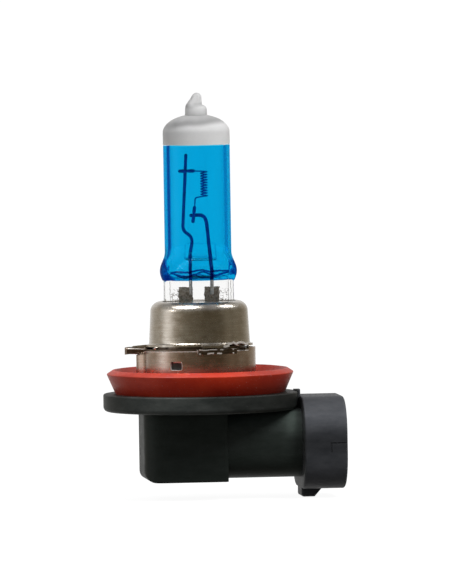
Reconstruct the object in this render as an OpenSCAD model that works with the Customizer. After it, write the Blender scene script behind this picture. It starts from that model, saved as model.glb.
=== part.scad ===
// Halogen headlight bulb with a twist-lock metal base and a right-angle plug socket.
// Millimetres. The origin is on the bulb's axis, at the underside of the three lugs,
// which is the plane that seats in the lamp. +Z points to the glass tip and +X to
// the mouth of the plug socket.

/* [Glass burner] */

// Outside diameter of the glass tube
tube_d = 11; // [9:0.1:13]
// Wall thickness of the glass tube
tube_wall = 0.95; // [0.7:0.05:1.4]
// Height where the straight tube ends and its dome begins
dome_z = 36.8; // [30:0.1:42]
// Height of the dome itself
dome_h = 2.95; // [2:0.05:5]
// Largest width of the flare above the pinch
flare_w = 12.6; // [11:0.1:14]
// Width of the flat pinch
pinch_w = 11.6; // [10:0.1:13]
// Thickness of the flat pinch
pinch_t = 3.4; // [2.6:0.1:4.5]
// Height of the bottom edge of the pinch
pinch_z = 1.5; // [0.5:0.1:4]
// Diameter of the stub left where the exhaust tube was sealed off
stub_d = 3.55; // [2.5:0.05:5]
// Height of the very tip of the glass
tip_z = 43.3; // [42.3:0.1:46]

/* [Coatings] */

// Height of the lower edge of the blue coat
blue_z = 12.2; // [11:0.1:14]
// Height of the lower edge of the grey cap coat
cap_z = 34.8; // [30:0.1:36.5]
// Thickness of the blue coat
blue_t = 0.06; // [0.04:0.01:0.12]
// Thickness of the grey cap coat
cap_t = 0.08; // [0.04:0.01:0.15]

/* [Filament and its supports] */

// Distance of the coil's axis from the bulb's axis
coil_x = 1.16; // [0:0.02:2]
// Mean diameter of the coil
coil_d = 1.06; // [0.8:0.02:1.6]
// Height of the bottom of the coil
coil_z = 26; // [24:0.1:28]
// Length of the coil
coil_len = 4.4; // [3.8:0.1:5]
// Turns of the coil, with a half turn over so that its legs leave to the same side
coil_turns = 9.5; // [7.5:1:13.5]
// Diameter of the filament wire
filament_d = 0.22; // [0.15:0.01:0.3]
// Diameter of the long support wire
long_wire_d = 0.55; // [0.4:0.05:0.8]
// Diameter of the short support wire
short_wire_d = 0.6; // [0.4:0.05:0.8]
// Diameter of the two crossbars that grip the filament's legs
crossbar_d = 0.56; // [0.4:0.02:0.8]

/* [Metal base] */

// Diameter of the can that holds the glass, at its bottom
can_d = 16.8; // [15:0.1:18]
// Height of the top of the can
can_z = 8.7; // [7:0.1:10]
// Sheet thickness of the can
can_t = 0.35; // [0.25:0.05:0.5]
// Radius of the can's rounded shoulder
can_shoulder = 1.7; // [1:0.1:2.5]
// Radius to the outer edge of the lugs
lug_r = 12.5; // [11.5:0.1:13]
// Angle that each lug spans
lug_span = 34; // [20:1:45]
// Thickness of the lugs, where the sheet is folded double
lug_t = 0.8; // [0.6:0.05:0.8]
// Outside diameter of the base ring
ring_d = 18.6; // [18:0.1:19.4]
// Sheet thickness of the base ring
ring_t = 0.45; // [0.3:0.05:0.6]

/* [Seal] */

// Diameter of the seal's sharp outer edge
seal_d = 31.1; // [29:0.1:33]
// Diameter of the seal where it meets the flange
seal_foot_d = 28.4; // [26:0.1:30]
// Depth of the seal's outer edge below the lugs
seal_edge_z = -3.35; // [-4:0.05:-3]

/* [Plug socket] */

// Diameter of the plastic flange
flange_d = 32.4; // [31:0.1:35]
// Top face of the flange
flange_top_z = -6.6; // [-7.4:0.1:-6]
// Bottom face of the flange
flange_low_z = -9.5; // [-11:0.1:-8.5]
// Bottom of the box under the flange
box_low_z = -21.2; // [-24:0.1:-19]
// Width of the box across the socket
box_y = 15; // [13:0.1:18]
// Wall thickness of the box
box_wall = 1.5; // [1:0.1:2.2]
// Distance from the axis to the mouth of the socket
mouth_x = 23.5; // [20:0.1:26]
// Width of the socket's collar
collar_y = 20; // [18:0.1:22]
// Height of the socket's collar
collar_h = 15.4; // [14:0.1:17]
// Length of the collar
collar_len = 7.2; // [5:0.1:9]
// Wall thickness of the collar
collar_wall = 1.5; // [1:0.1:2]
// Width of a terminal blade
blade_w = 2.8; // [2:0.1:3.5]
// Thickness of a terminal blade
blade_t = 0.8; // [0.5:0.1:1]
// Distance between the two blades' centres
blade_pitch = 6; // [4.5:0.1:7]

/* [Hidden] */

$fn = 96;
touch = 0.05;

// glass
tube_r = tube_d / 2;
bore_r = tube_r - tube_wall;
bulge_z = 13.8;
neck_z = 16.9;
bore_floor_z = 13.3;
bore_flare_r = 5.15;
bore_dome_h = dome_h - 1.15;
stub_top_z = 41.35;
tip_r = 0.74;
tip_x = 0.08;
ridge_w = 0.85;
web_t = 2.9;

// leads in the pinch
foil_t = 0.1;
foil_low_z = 3.4;
foil_top_z = 11.1;
foil_y = long_wire_d / 2 + foil_t / 2;
pin_d = 0.8;
pin_y = foil_y - foil_t / 2 - pin_d / 2;
pin_top_z = 4.6;
pin_low_z = -13.6;
lead_low_z = 9.9;
left_x = -2.2;
right_x = 2.18;
left_lead_x = -1.37;
right_lead_x = 2.19;

// supports: each is a list of [x, z] in the plane of the foils' leads
long_route = [
    [left_lead_x, lead_low_z],
    [left_lead_x, 14],
    [-1.28, 15.6],
    [-1, 18.4],
    [-1.02, 19.1],
    [-1.36, 19.6],
    [-1.95, 20.1],
    [-2.34, 20.6],
    [-2.47, 21.2],
    [-1.78, 33]
];
short_route = [
    [right_lead_x, lead_low_z],
    [right_lead_x, 13.6],
    [1.93, 15.6],
    [1.8, 18.4],
    [1.56, 21.3],
    [1.42, 22.1],
    [1.1, 22.72],
    [0.6, 23],
    [-1.06, 22.97]
];
bridge_x = [-2.27, 2.95];
bridge_z = [15.6, 18.4];
bridge_y = 2.4;
upper_bar_x = [-3.15, -0.35];
upper_bar_z = 30.4;
upper_bar_y = -(long_wire_d + crossbar_d) / 2;
lower_bar_top = [-0.5, 24.55];
lower_bar_low = [-0.85, 21.7];
lower_bar_y = -(short_wire_d + crossbar_d) / 2;

// metal base
can_r = can_d / 2;
can_top_r = can_r - 0.28;
brim_z = 1.2;
brim_flare = 0.35;
brim_r = can_r + brim_flare + 0.15;
ear_r = 11.2;
ear_span = 26;
ear_z = 1;
lug_angles = [159, -81, 74];
deck_top_z = 0.8;
deck_low_z = deck_top_z - 0.45;
deck_in_r = 7.2;
ring_r = ring_d / 2;
ring_in_r = ring_r - ring_t;
ring_low_z = -6.45;
rim_span = [-34, 34];
rim_top_z = 0.92;
notch_at = -46;
notch_span = 9;
deck_collar_top_z = 2.6;
deck_collar_t = 0.35;
boss_at = 159;
boss_half = 27;
boss_ramp = 12;
boss_out = 1.3;
boss_top_z = -0.1;
boss_low_z = -4.6;
window_at = -121;
window_count = 3;
window_w = 2.1;
window_z = [-2.4, -1];
tang_w = 1.4;
weld_count = 6;
weld_d = 0.8;
weld_r = 8.5;
opening = [pinch_w + 0.5, pinch_t + 0.5];
clamp_t = 0.35;
clamp_low_z = 2.2;
clamp_flange_r = 6.6;

// socket
spigot_r = ring_in_r - touch;
spigot_top_z = -0.15;
spigot_bore_r = 7.2;
box_x = [-10, 3.8];
box_r = 3.5;
box_edge_r = 0.5;
box_foot_r = 1.8;
lead_room_x = [-8, 3.2];
rib_x = [15.7, 16.6];
rib_y = 2.6;
rib_z = [-10.4, -6.35];
axis_z = -15.1;
neck_y = 14.2;
neck_h = 11.4;
neck_r = 4;
collar_r = 5.75;
neck_room_x = 11.5;
neck_room = [11.2, 9.2];
neck_room_r = 1.2;
collar_room_x = mouth_x - collar_len + collar_wall;
blade_tip_x = 18.4;
tab_h = 4.2;
latch_x = [16.4, 18.7, 19.9];
latch_y = 6;
latch_low_z = -24.2;
cover_t = 1;
cover_lap = 0.7;
cover_plug_z = -19.2;

// ---- helpers ----

// 0 to 1, slow at both ends
function ease(t) = (1 - cos(180 * t)) / 2;

// points of a corner arc about a centre, from one angle to another
function arc(centre, r, from, to, steps = 6) = [
    for (i = [0 : steps])
    centre + r * [cos(from + (to - from) * i / steps), sin(from + (to - from) * i / steps)]
];

// turns children about the axis to each angle in a list
module at_angles(angles) {
    for (a = angles) rotate([0, 0, a]) children();
}

// a flat ring sector, centred on +X
module sector(r_in, r_out, span, low, top) {
    translate([0, 0, low])
    rotate([0, 0, -span / 2])
    rotate_extrude(angle = span)
    translate([r_in, 0])
    square([r_out - r_in, top - low]);
}

// a rounded rectangle centred on the origin
module rounded(size, r) {
    corner_x = size[0] / 2 - r;
    corner_y = size[1] / 2 - r;
    union() {
        square([size[0], size[1] - 2 * r], center = true);
        square([size[0] - 2 * r, size[1]], center = true);
        for (x = [-1, 1], y = [-1, 1])
        translate([x * corner_x, y * corner_y])
        circle(r);
    }
}

// a rounded bar along X, its section given across Y and Z
module bar_x(from, to, section, r) {
    translate([from, 0, axis_z])
    rotate([90, 0, 90])
    linear_extrude(to - from)
    rounded(section, r);
}

// a straight round rod between two [x, z] points at one depth
module rod(a, b, d, depth) {
    run = b - a;
    translate([a[0], depth, a[1]])
    rotate([0, atan2(run[0], run[1]), 0])
    cylinder(d = d, h = norm(run));
}

// bent wire through a list of [x, z] points in the plane of the leads
module wire(route, d) {
    swept([for (p = route) [p[0], 0, p[1]]], d, 12);
}

// a tube mesh swept along 3-D points, its rings carried on without twist
module swept(path, d, sides = 8) {
    n = len(path);
    along = [
        for (i = [0 : n - 1])
        let (run = path[min(i + 1, n - 1)] - path[max(i - 1, 0)])
        run / norm(run)
    ];
    side = [
        for (
            i = 0, s = cross(along[0], [0, 1, 0]);
            i < n;
            i = i + 1,
            s = i < n ? s - (s * along[i]) * along[i] : s
        )
        s / norm(s)
    ];
    points = [
        for (i = [0 : n - 1], k = [0 : sides - 1])
        let (a = 360 * k / sides)
        path[i] + d / 2 * (cos(a) * side[i] + sin(a) * cross(along[i], side[i]))
    ];
    faces = concat(
        [[for (k = [0 : sides - 1]) k]],
        [
            for (i = [0 : n - 2], k = [0 : sides - 1])
            let (a = i * sides, next = (k + 1) % sides)
            [a + k, a + sides + k, a + sides + next, a + next]
        ],
        [[for (k = [sides - 1 : -1 : 0]) (n - 1) * sides + k]]
    );
    polyhedron(points, faces);
}

// ---- glass ----

// half width of the glass against height, grown for a coat
function glass_profile(grow) = concat(
    [[0, pinch_z], [pinch_w / 2 + grow, pinch_z]],
    [
        for (i = [0 : 5])
        [
            pinch_w / 2 + grow + (flare_w - pinch_w) / 2 * sin(18 * i),
            blue_z + (bulge_z - blue_z) * i / 5
        ]
    ],
    [
        for (i = [1 : 8])
        [
            flare_w / 2 + grow - (flare_w - tube_d) / 2 * ease(i / 8),
            bulge_z + (neck_z - bulge_z) * i / 8
        ]
    ],
    [
        for (i = [0 : 10])
        [i == 10 ? 0 : (tube_r + grow) * cos(9 * i), dome_z + (dome_h + grow) * sin(9 * i)]
    ]
);

// half thickness of the glass against height, seen from the side
function side_profile(grow, low_t, low_z, top_t, top_z, steps = 8) = let (
    half = [
        for (i = [0 : steps])
        [low_t + grow + (top_t - low_t) * ease(i / steps), low_z + (top_z - low_z) * i / steps]
    ],
    right = concat([[low_t + grow, pinch_z - 1]], half, [[top_t + grow, tip_z]])
) concat(right, [for (i = [len(right) - 1 : -1 : 0]) [-right[i][0], right[i][1]]]);

module side_block(points) {
    rotate([90, 0, 90])
    linear_extrude(4 * tube_r, center = true)
    polygon(points);
}

// the sealed exhaust stub, its drawn-off tip and the slope between them
module stub(grow) {
    corner = 0.5;
    stub_r = stub_d / 2 + grow;
    rotate_extrude()
    polygon(concat(
        [[0, dome_z + 1], [stub_r, dome_z + 1]],
        arc([stub_r - corner, stub_top_z + grow - corner], corner, 0, 90),
        [[0, stub_top_z + grow]]
    ));
    translate([tip_x, 0, stub_top_z - 0.5])
    cylinder(r = tip_r + grow, h = tip_z - tip_r - stub_top_z + 0.5);
    translate([tip_x, 0, tip_z - tip_r])
    sphere(r = tip_r + grow);
    intersection() {
        translate([-0.42, 0, stub_top_z - 0.2])
        cylinder(r1 = 1.3 + grow, r2 = 0.42 + grow, h = 1.5);
        translate([-5 + tip_x, -5, stub_top_z - 0.2])
        cube([5, 10, 2]);
    }
}

module glass_form(grow) {
    intersection() {
        rotate_extrude() polygon(glass_profile(grow));
        side_block(side_profile(grow, pinch_t / 2, blue_z - 0.4, tube_r + 0.1, 17.6));
    }
    stub(grow);
}

module glass_bore() {
    intersection() {
        rotate_extrude()
        polygon(concat(
            [[0, bore_floor_z], [bore_flare_r - 1.2, bore_floor_z]],
            arc([bore_flare_r - 1.2, bore_floor_z + 1.2], 1.2, -75, 0, 5),
            [
                for (i = [1 : 6])
                [bore_flare_r - (bore_flare_r - bore_r) * ease(i / 6), bore_floor_z + 1.2 + 2.6 * i / 6]
            ],
            [
                for (i = [0 : 9])
                [i == 9 ? 0 : bore_r * cos(10 * i), dome_z + bore_dome_h * sin(10 * i)]
            ]
        ));
        side_block(side_profile(0, 0.7, bore_floor_z + 0.2, bore_r + 0.05, 18.6));
    }
}

// the shallow hollow between the pinch's thick edges, on one face
module pinch_hollow() {
    translate([-pinch_w / 2 + ridge_w, web_t / 2, pinch_z - 1])
    cube([pinch_w - 2 * ridge_w, 1, blue_z - pinch_z - 0.2]);
}

// where the two support wires are sealed in the glass
module lead_bores() {
    rod(long_route[0], long_route[1], long_wire_d, 0);
    rod(short_route[0], short_route[1], short_wire_d, 0);
}

module glass_envelope() {
    color([0.75, 0.88, 0.95, 0.4])
    difference() {
        glass_form(0);
        glass_bore();
        for (side = [0, 1]) mirror([0, side, 0]) pinch_hollow();
        lead_bores();
        left_foil();
        right_foil();
        left_outer_pin();
        right_outer_pin();
    }
}

module blue_coating() {
    color([0.05, 0.5, 0.85, 0.6])
    intersection() {
        difference() {
            glass_form(blue_t);
            glass_form(0);
        }
        translate([-10, -10, blue_z])
        cube([20, 20, cap_z - blue_z]);
    }
}

module cap_coating() {
    color([0.78, 0.78, 0.78])
    intersection() {
        difference() {
            glass_form(cap_t);
            glass_form(0);
        }
        translate([-10, -10, cap_z])
        cube([20, 20, tip_z]);
    }
}

// ---- filament, supports and leads ----

function coil_path() = let (steps = round(coil_turns * 16)) [
    for (i = [0 : steps])
    let (a = -90 + 360 * coil_turns * i / steps)
    [
        coil_x + coil_d / 2 * cos(a),
        coil_d / 2 * sin(a),
        coil_z + coil_len - filament_d / 2 - (coil_len - filament_d) * i / steps
    ]
];

module filament() {
    top_z = coil_z + coil_len - filament_d / 2;
    low_z = coil_z + filament_d / 2;
    top_leg = [
        [upper_bar_x[1], upper_bar_y, top_z + 0.06],
        [coil_x - 0.5, upper_bar_y, top_z + 0.05]
    ];
    low_leg = [
        [coil_x - 0.5, coil_d / 2 - 0.05, low_z - 0.04],
        [0.1, 0.15, low_z - 0.14],
        [-0.24, -0.3, low_z - 0.22],
        [-0.4, lower_bar_y, low_z - 0.45],
        [-0.46, lower_bar_y, low_z - 0.9],
        [lower_bar_top[0], lower_bar_y, lower_bar_top[1] + 0.02]
    ];
    color([0.35, 0.35, 0.38])
    swept(concat(top_leg, coil_path(), low_leg), filament_d);
}

module long_support_wire() {
    color([0.45, 0.45, 0.48]) wire(long_route, long_wire_d);
}

module short_support_wire() {
    color([0.45, 0.45, 0.48]) wire(short_route, short_wire_d);
}

module upper_crossbar() {
    color([0.5, 0.5, 0.52])
    translate([upper_bar_x[0], upper_bar_y, upper_bar_z])
    rotate([0, 90, 0])
    cylinder(d = crossbar_d, h = upper_bar_x[1] - upper_bar_x[0]);
}

module lower_crossbar() {
    color([0.5, 0.5, 0.52]) rod(lower_bar_low, lower_bar_top, crossbar_d, lower_bar_y);
}

module quartz_bridge() {
    width = bridge_x[1] - bridge_x[0];
    color([0.8, 0.9, 0.95, 0.5])
    difference() {
        translate([bridge_x[0] + width / 2, 0, bridge_z[0]])
        linear_extrude(bridge_z[1] - bridge_z[0])
        rounded([width, bridge_y], bridge_y / 2 - 0.1);
        wire(long_route, long_wire_d);
        wire(short_route, short_wire_d);
    }
}

// a foil with slightly ragged sides
module foil(centre_x, width) {
    steps = 8;
    rag = 0.09;
    step = (foil_top_z - foil_low_z) / steps;
    color([0.36, 0.33, 0.3])
    translate([centre_x, foil_y + foil_t / 2, 0])
    rotate([90, 0, 0])
    linear_extrude(foil_t)
    polygon(concat(
        [for (i = [0 : steps]) [width / 2 + rag * sin(130 * i), foil_low_z + step * i]],
        [for (i = [steps : -1 : 0]) [-width / 2 + rag * sin(170 * i + 40), foil_low_z + step * i]]
    ));
}

module left_foil() {
    foil(left_x, 2.5);
}

module right_foil() {
    foil(right_x, 2.6);
}

module outer_pin(x) {
    color([0.62, 0.62, 0.64])
    translate([x, pin_y, pin_low_z])
    cylinder(d = pin_d, h = pin_top_z - pin_low_z);
}

module left_outer_pin() {
    outer_pin(left_x);
}

module right_outer_pin() {
    outer_pin(right_x);
}

// ---- metal base ----

module slot_for_pinch(low, top, extra = 0) {
    translate([0, 0, low])
    linear_extrude(top - low)
    square([opening[0] + extra, opening[1] + extra], center = true);
}

// a sleeve round the pinch under the can's top, with pads that press on its web
module pinch_clamp() {
    flange_z = can_z - can_t - clamp_t;
    pad_d = 2;
    color([0.6, 0.58, 0.54]) {
        difference() {
            union() {
                slot_for_pinch(clamp_low_z, flange_z, 2 * clamp_t);
                translate([0, 0, flange_z])
                cylinder(r = clamp_flange_r, h = clamp_t);
            }
            slot_for_pinch(clamp_low_z - 1, can_z);
        }
        for (x = [-3.2, 3.2], side = [-1, 1])
        translate([x, side * web_t / 2, clamp_low_z + 2.4])
        rotate([-90 * side, 0, 0])
        cylinder(d = pad_d, h = (opening[1] - web_t) / 2 + 0.1);
    }
}

// a drawn sheet cup with a rounded shoulder, a flared brim and three ears
module upper_shell() {
    shoulder = [can_top_r - can_shoulder, can_z - can_shoulder];
    flare = [can_r + brim_flare, brim_z + can_t + brim_flare];
    color([0.66, 0.63, 0.58])
    difference() {
        union() {
            rotate_extrude()
            polygon(concat(
                [[0, can_z - can_t], [0, can_z]],
                arc(shoulder, can_shoulder, 90, 0, 8),
                arc(flare, brim_flare, 180, 270, 5),
                [[brim_r, brim_z + can_t], [brim_r, brim_z]],
                arc(flare, brim_flare + can_t, 270, 180, 5),
                arc(shoulder, can_shoulder - can_t, 0, 90, 8)
            ));
            at_angles(lug_angles)
            sector(brim_r - 0.1, ear_r, ear_span, ear_z, ear_z + can_t);
        }
        slot_for_pinch(can_z - 1, can_z + 1);
    }
}

module shell_welds() {
    color([0.75, 0.73, 0.7]) {
        for (i = [0 : weld_count - 1])
        rotate([0, 0, -30 + i * 360 / weld_count])
        translate([weld_r, 0, deck_top_z])
        cylinder(d = weld_d, h = brim_z - deck_top_z);
        at_angles(lug_angles)
        translate([ear_r - 1, 0, lug_t])
        cylinder(d = weld_d, h = ear_z - lug_t);
    }
}

// a flat deck with an upturned collar inside the can, and three lugs
module lug_ring() {
    deck_span = 358 - rim_span[1] + rim_span[0];
    notch_r = 8.4;
    color([0.6, 0.57, 0.52]) {
        difference() {
            union() {
                sector(deck_in_r, spigot_r, 360, deck_low_z, deck_top_z);
                sector(deck_in_r, deck_in_r + deck_collar_t, 360, deck_low_z, deck_collar_top_z);
                rotate([0, 0, 180])
                sector(spigot_r - 0.1, ring_r, deck_span, deck_low_z, deck_top_z);
                at_angles(lug_angles)
                sector(ring_r - 0.1, ring_r + 0.5, lug_span, deck_low_z, deck_top_z);
            }
            at_angles([notch_at])
            sector(notch_r, ring_r + 1, notch_span, deck_low_z - 1, deck_top_z + 1);
        }
        at_angles(lug_angles)
        sector(ring_r + touch, lug_r, lug_span, 0, lug_t);
    }
}

// outline of the base ring's bulge under the left lug, its ends inside the ring's wall
function boss_outline(inset) = concat([[0, 0]], [
    for (i = [0 : 20])
    let (
        a = boss_at + (boss_half + 2) * (i / 10 - 1),
        rise = max(-0.2, min(1, (boss_half - abs(a - boss_at)) / boss_ramp))
    )
    (ring_r - inset + boss_out * rise) * [cos(a), sin(a)]
]);

module boss_block(inset, low, top) {
    translate([0, 0, low])
    linear_extrude(top - low)
    polygon(boss_outline(inset));
}

module base_ring() {
    cut_span = 360 - rim_span[1] + rim_span[0];
    color([0.64, 0.61, 0.56])
    difference() {
        union() {
            difference() {
                union() {
                    translate([0, 0, ring_low_z])
                    cylinder(r = ring_r, h = rim_top_z - ring_low_z);
                    boss_block(0, boss_low_z, boss_top_z);
                }
                // only the stretch at the socket's side keeps its full height
                at_angles([180 + (rim_span[0] + rim_span[1]) / 2])
                sector(ring_in_r - 1, ring_r + 1, cut_span, deck_low_z, rim_top_z + 1);
                boss_block(ring_t, boss_low_z + ring_t, boss_top_z + 1);
                translate([0, 0, ring_low_z - 1])
                cylinder(r = ring_in_r, h = 10);
            }
            at_windows() tang();
        }
        at_windows() window();
    }
}

module at_windows() {
    for (i = [0 : window_count - 1])
    rotate([0, 0, window_at + i * 360 / window_count])
    children();
}

// the cut round a tang: all of the window but the tongue itself, which is bent in
module window() {
    translate([ring_in_r - 0.1, -window_w / 2, window_z[0]])
    cube([2, window_w, window_z[1] - window_z[0]]);
}

// a tongue lanced from the window's top edge and bent into the plastic
module tang() {
    lean = 25;
    translate([ring_in_r + 0.05, -tang_w / 2, window_z[1] + 0.15])
    rotate([0, lean, 0])
    translate([-ring_t * 0.9, 0, -1.2])
    cube([ring_t * 0.9, tang_w, 1.2]);
}

// ---- seal ----

// a cone up to a sharp edge, a rounded ridge inside it and a groove round the base ring
module seal_ring() {
    edge_r = seal_d / 2;
    foot_r = seal_foot_d / 2;
    hug_r = ring_r + touch;
    ridge = [14.5, seal_edge_z + 0.48];
    groove = [11.9, -4.4];
    groove_r = 0.6;
    color([0.75, 0.12, 0.08])
    rotate_extrude()
    polygon(concat(
        [[hug_r, flange_top_z], [foot_r, flange_top_z]],
        arc([edge_r - 0.18, seal_edge_z], 0.18, -30, 55, 4),
        arc(ridge, 0.25, 65, 135, 4),
        arc(groove, groove_r, -35, -90, 4),
        [[hug_r, groove[1] - groove_r]]
    ));
}

// ---- plug socket ----

module flange() {
    edge = 0.8;
    rim = 0.25;
    r = flange_d / 2;
    rotate_extrude()
    polygon(concat(
        [[0, flange_low_z]],
        arc([r - edge, flange_low_z + edge], edge, -90, 0),
        arc([r - rim, flange_top_z - rim], rim, 0, 90, 3),
        [[0, flange_top_z]]
    ));
}

// the box's outline, round at the left and nearly sharp towards the socket
module box_block(inset, low, top) {
    left_r = box_r - min(inset, box_r - 0.5);
    left = box_x[0] + inset + left_r;
    right = box_x[1] - inset - box_edge_r;
    half = box_y / 2 - inset;
    translate([0, 0, low])
    linear_extrude(top - low)
    polygon(concat(
        arc([right, half - box_edge_r], box_edge_r, 0, 90, 3),
        arc([left, half - left_r], left_r, 90, 180, 10),
        arc([left, left_r - half], left_r, 180, 270, 10),
        arc([right, box_edge_r - half], box_edge_r, 270, 360, 3)
    ));
}

// keeps what lies inside the box's side view, whose lower left corner is round
module with_round_foot() {
    intersection() {
        children();
        translate([0, box_y, 0])
        rotate([90, 0, 0])
        linear_extrude(2 * box_y)
        polygon(concat(
            [[box_x[1] + 1, box_low_z], [box_x[1] + 1, 0], [box_x[0], 0]],
            arc([box_x[0] + box_foot_r, box_low_z + box_foot_r], box_foot_r, 180, 270, 8)
        ));
    }
}

// the catch under the collar that the plug's latch snaps over
module latch() {
    top_z = axis_z - collar_h / 2 + 1;
    translate([0, latch_y / 2, 0])
    rotate([90, 0, 0])
    linear_extrude(latch_y)
    polygon([
        [latch_x[0], top_z],
        [latch_x[0], latch_low_z],
        [latch_x[1], latch_low_z],
        [latch_x[2], latch_low_z + 1.3],
        [latch_x[2], top_z]
    ]);
}

module socket_housing() {
    neck_x = mouth_x - collar_len;
    color([0.12, 0.13, 0.13])
    difference() {
        union() {
            flange();
            translate([0, 0, flange_low_z + 1])
            cylinder(r = spigot_r, h = spigot_top_z - flange_low_z - 1);
            with_round_foot() box_block(0, box_low_z, flange_low_z + 1);
            bar_x(box_x[1] - 3, neck_x + 1, [neck_y, neck_h], neck_r);
            bar_x(neck_x, mouth_x, [collar_y, collar_h], collar_r);
            latch();
            // a rib between the flange and the collar
            translate([rib_x[0], -rib_y / 2, rib_z[0]])
            cube([rib_x[1] - rib_x[0], rib_y, rib_z[1] - rib_z[0]]);
        }
        // lead room through the spigot and the box
        translate([0, 0, box_low_z + 2])
        intersection() {
            cylinder(r = spigot_bore_r, h = 40);
            translate([lead_room_x[0], -box_y / 2 + box_wall, 0])
            cube([lead_room_x[1] - lead_room_x[0], box_y - 2 * box_wall, 40]);
        }
        box_block(box_wall, box_low_z - 1, flange_low_z - 1);
        // seat of the rear cover
        box_block(box_wall - cover_lap, box_low_z - 1, box_low_z + cover_t);
        // the plug's room, wide in the collar and narrower in the neck
        bar_x(neck_room_x, mouth_x + 1, neck_room, neck_room_r);
        bar_x(
            collar_room_x, mouth_x + 1,
            [collar_y - 2 * collar_wall, collar_h - 2 * collar_wall], collar_r - collar_wall
        );
        // pockets for the base ring's tangs
        at_windows()
        translate([spigot_r - 1.1, -window_w / 2, window_z[0] - 0.1])
        cube([2, window_w, 2]);
        left_terminal();
        right_terminal();
    }
}

// the last stretch of a blade, narrowed both ways so that it finds its mate
module blade_tip() {
    run = 0.8;
    intersection() {
        linear_extrude(blade_t, center = true)
        polygon([
            [0, -blade_w / 2], [run, -blade_w / 2 + 0.4],
            [run, blade_w / 2 - 0.4], [0, blade_w / 2]
        ]);
        rotate([90, 0, 0])
        linear_extrude(blade_w, center = true)
        polygon([
            [0, -blade_t / 2], [run, -blade_t / 2 + 0.25],
            [run, blade_t / 2 - 0.25], [0, blade_t / 2]
        ]);
    }
}

// a blade with barbs, and a tab turned up beside its lead pin
module terminal(side) {
    pin_x = side < 0 ? left_x : right_x;
    tab_y = pin_y + side * pin_d / 2;
    blade_y = side * blade_pitch / 2;
    tab_x = pin_x - 1;
    far_y = blade_y + side * blade_w / 2;
    low_z = axis_z - blade_t / 2;
    color([0.78, 0.74, 0.6]) {
        translate([tab_x, blade_y - blade_w / 2, low_z])
        cube([blade_tip_x - tab_x - 0.8, blade_w, blade_t]);
        translate([blade_tip_x - 0.8, blade_y, axis_z])
        blade_tip();
        for (x = [6.2, 8.4], edge = [-1, 1])
        translate([x, blade_y + edge * blade_w / 2, low_z])
        linear_extrude(blade_t)
        polygon([[0, -0.1 * edge], [1.1, -0.1 * edge], [0, 0.3 * edge]]);
        translate([tab_x, min(tab_y, far_y), low_z])
        cube([2, abs(far_y - tab_y), blade_t]);
        translate([tab_x, side < 0 ? tab_y - blade_t : tab_y, low_z])
        cube([2, blade_t, tab_h]);
    }
}

module left_terminal() {
    terminal(-1);
}

module right_terminal() {
    terminal(1);
}

module rear_cover() {
    color([0.1, 0.11, 0.11])
    with_round_foot() {
        box_block(box_wall - cover_lap + touch, box_low_z, box_low_z + cover_t - touch);
        difference() {
            box_block(box_wall + touch, box_low_z, cover_plug_z);
            box_block(box_wall + 1.2, box_low_z + cover_t, cover_plug_z + 1);
        }
    }
}

glass_envelope();
blue_coating();
cap_coating();
filament();
long_support_wire();
short_support_wire();
upper_crossbar();
lower_crossbar();
quartz_bridge();
left_foil();
right_foil();
left_outer_pin();
right_outer_pin();
pinch_clamp();
upper_shell();
shell_welds();
lug_ring();
base_ring();
seal_ring();
socket_housing();
left_terminal();
right_terminal();
rear_cover();
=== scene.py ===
import math
from functools import partialmethod

import bmesh
import bpy
from mathutils import Matrix, Vector, noise


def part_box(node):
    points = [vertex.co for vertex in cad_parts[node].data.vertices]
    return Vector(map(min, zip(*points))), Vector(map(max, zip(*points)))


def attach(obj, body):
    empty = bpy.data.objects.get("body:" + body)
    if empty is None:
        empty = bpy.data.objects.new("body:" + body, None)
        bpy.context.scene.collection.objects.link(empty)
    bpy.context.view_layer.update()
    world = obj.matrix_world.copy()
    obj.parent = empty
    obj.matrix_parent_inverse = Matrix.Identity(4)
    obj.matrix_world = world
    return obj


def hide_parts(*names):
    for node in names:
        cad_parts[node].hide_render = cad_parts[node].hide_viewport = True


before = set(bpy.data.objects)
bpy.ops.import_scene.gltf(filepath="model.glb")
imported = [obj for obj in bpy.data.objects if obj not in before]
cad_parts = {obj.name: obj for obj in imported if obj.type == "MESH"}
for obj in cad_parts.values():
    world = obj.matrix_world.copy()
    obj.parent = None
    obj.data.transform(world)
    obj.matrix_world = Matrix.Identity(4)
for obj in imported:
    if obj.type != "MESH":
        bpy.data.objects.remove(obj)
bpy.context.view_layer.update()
scene = bpy.context.scene

MM = 0.001


def span(node):
    """Lowest and highest corner of a CAD node, in millimetres."""
    low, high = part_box(node)
    return low / MM, high / MM


# ---- sizes, in millimetres: what the frame can say is read from it ----

glass_low, glass_high = span("glass_envelope")
blue_low, blue_high = span("blue_coating")
cap_low, cap_high = span("cap_coating")
ring_low, ring_high = span("base_ring")
seal_low, seal_high = span("seal_ring")
housing_low, housing_high = span("socket_housing")

cap_t = 0.08
blue_t = 0.06
tube_r = cap_high.y - cap_t
pinch_w = 11.6
flare_w = glass_high.x - glass_low.x
tip_z = cap_high.z - cap_t
tube_wall = 0.95
bore_r = tube_r - tube_wall
bulge_z = 13.8
neck_z = 16.9
dome_z = 36.8
dome_h = 2.95
stub_r = 1.76

can_top_z = span("upper_shell")[1].z
can_t = 0.35
can_r = 8.4
can_shoulder = 1.7
can_taper = 0.28
can_top_r = can_r - can_taper
brim_z = 1.2
ear_r = 11.2
ear_span = 26
lug_angles = (159, -81, 74)
left_lug = lug_angles[0]
lug_r = 12.5
lug_span = 34
ring_r = ring_high.y
ring_t = 0.45
deck_low_z = 0.35
deck_top_z = 0.8
deck_in_r = 7.2
lug_collar_top_z = span("lug_ring")[1].z
notch_at = -46
crease_at = -53
socket_side = 0

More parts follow.
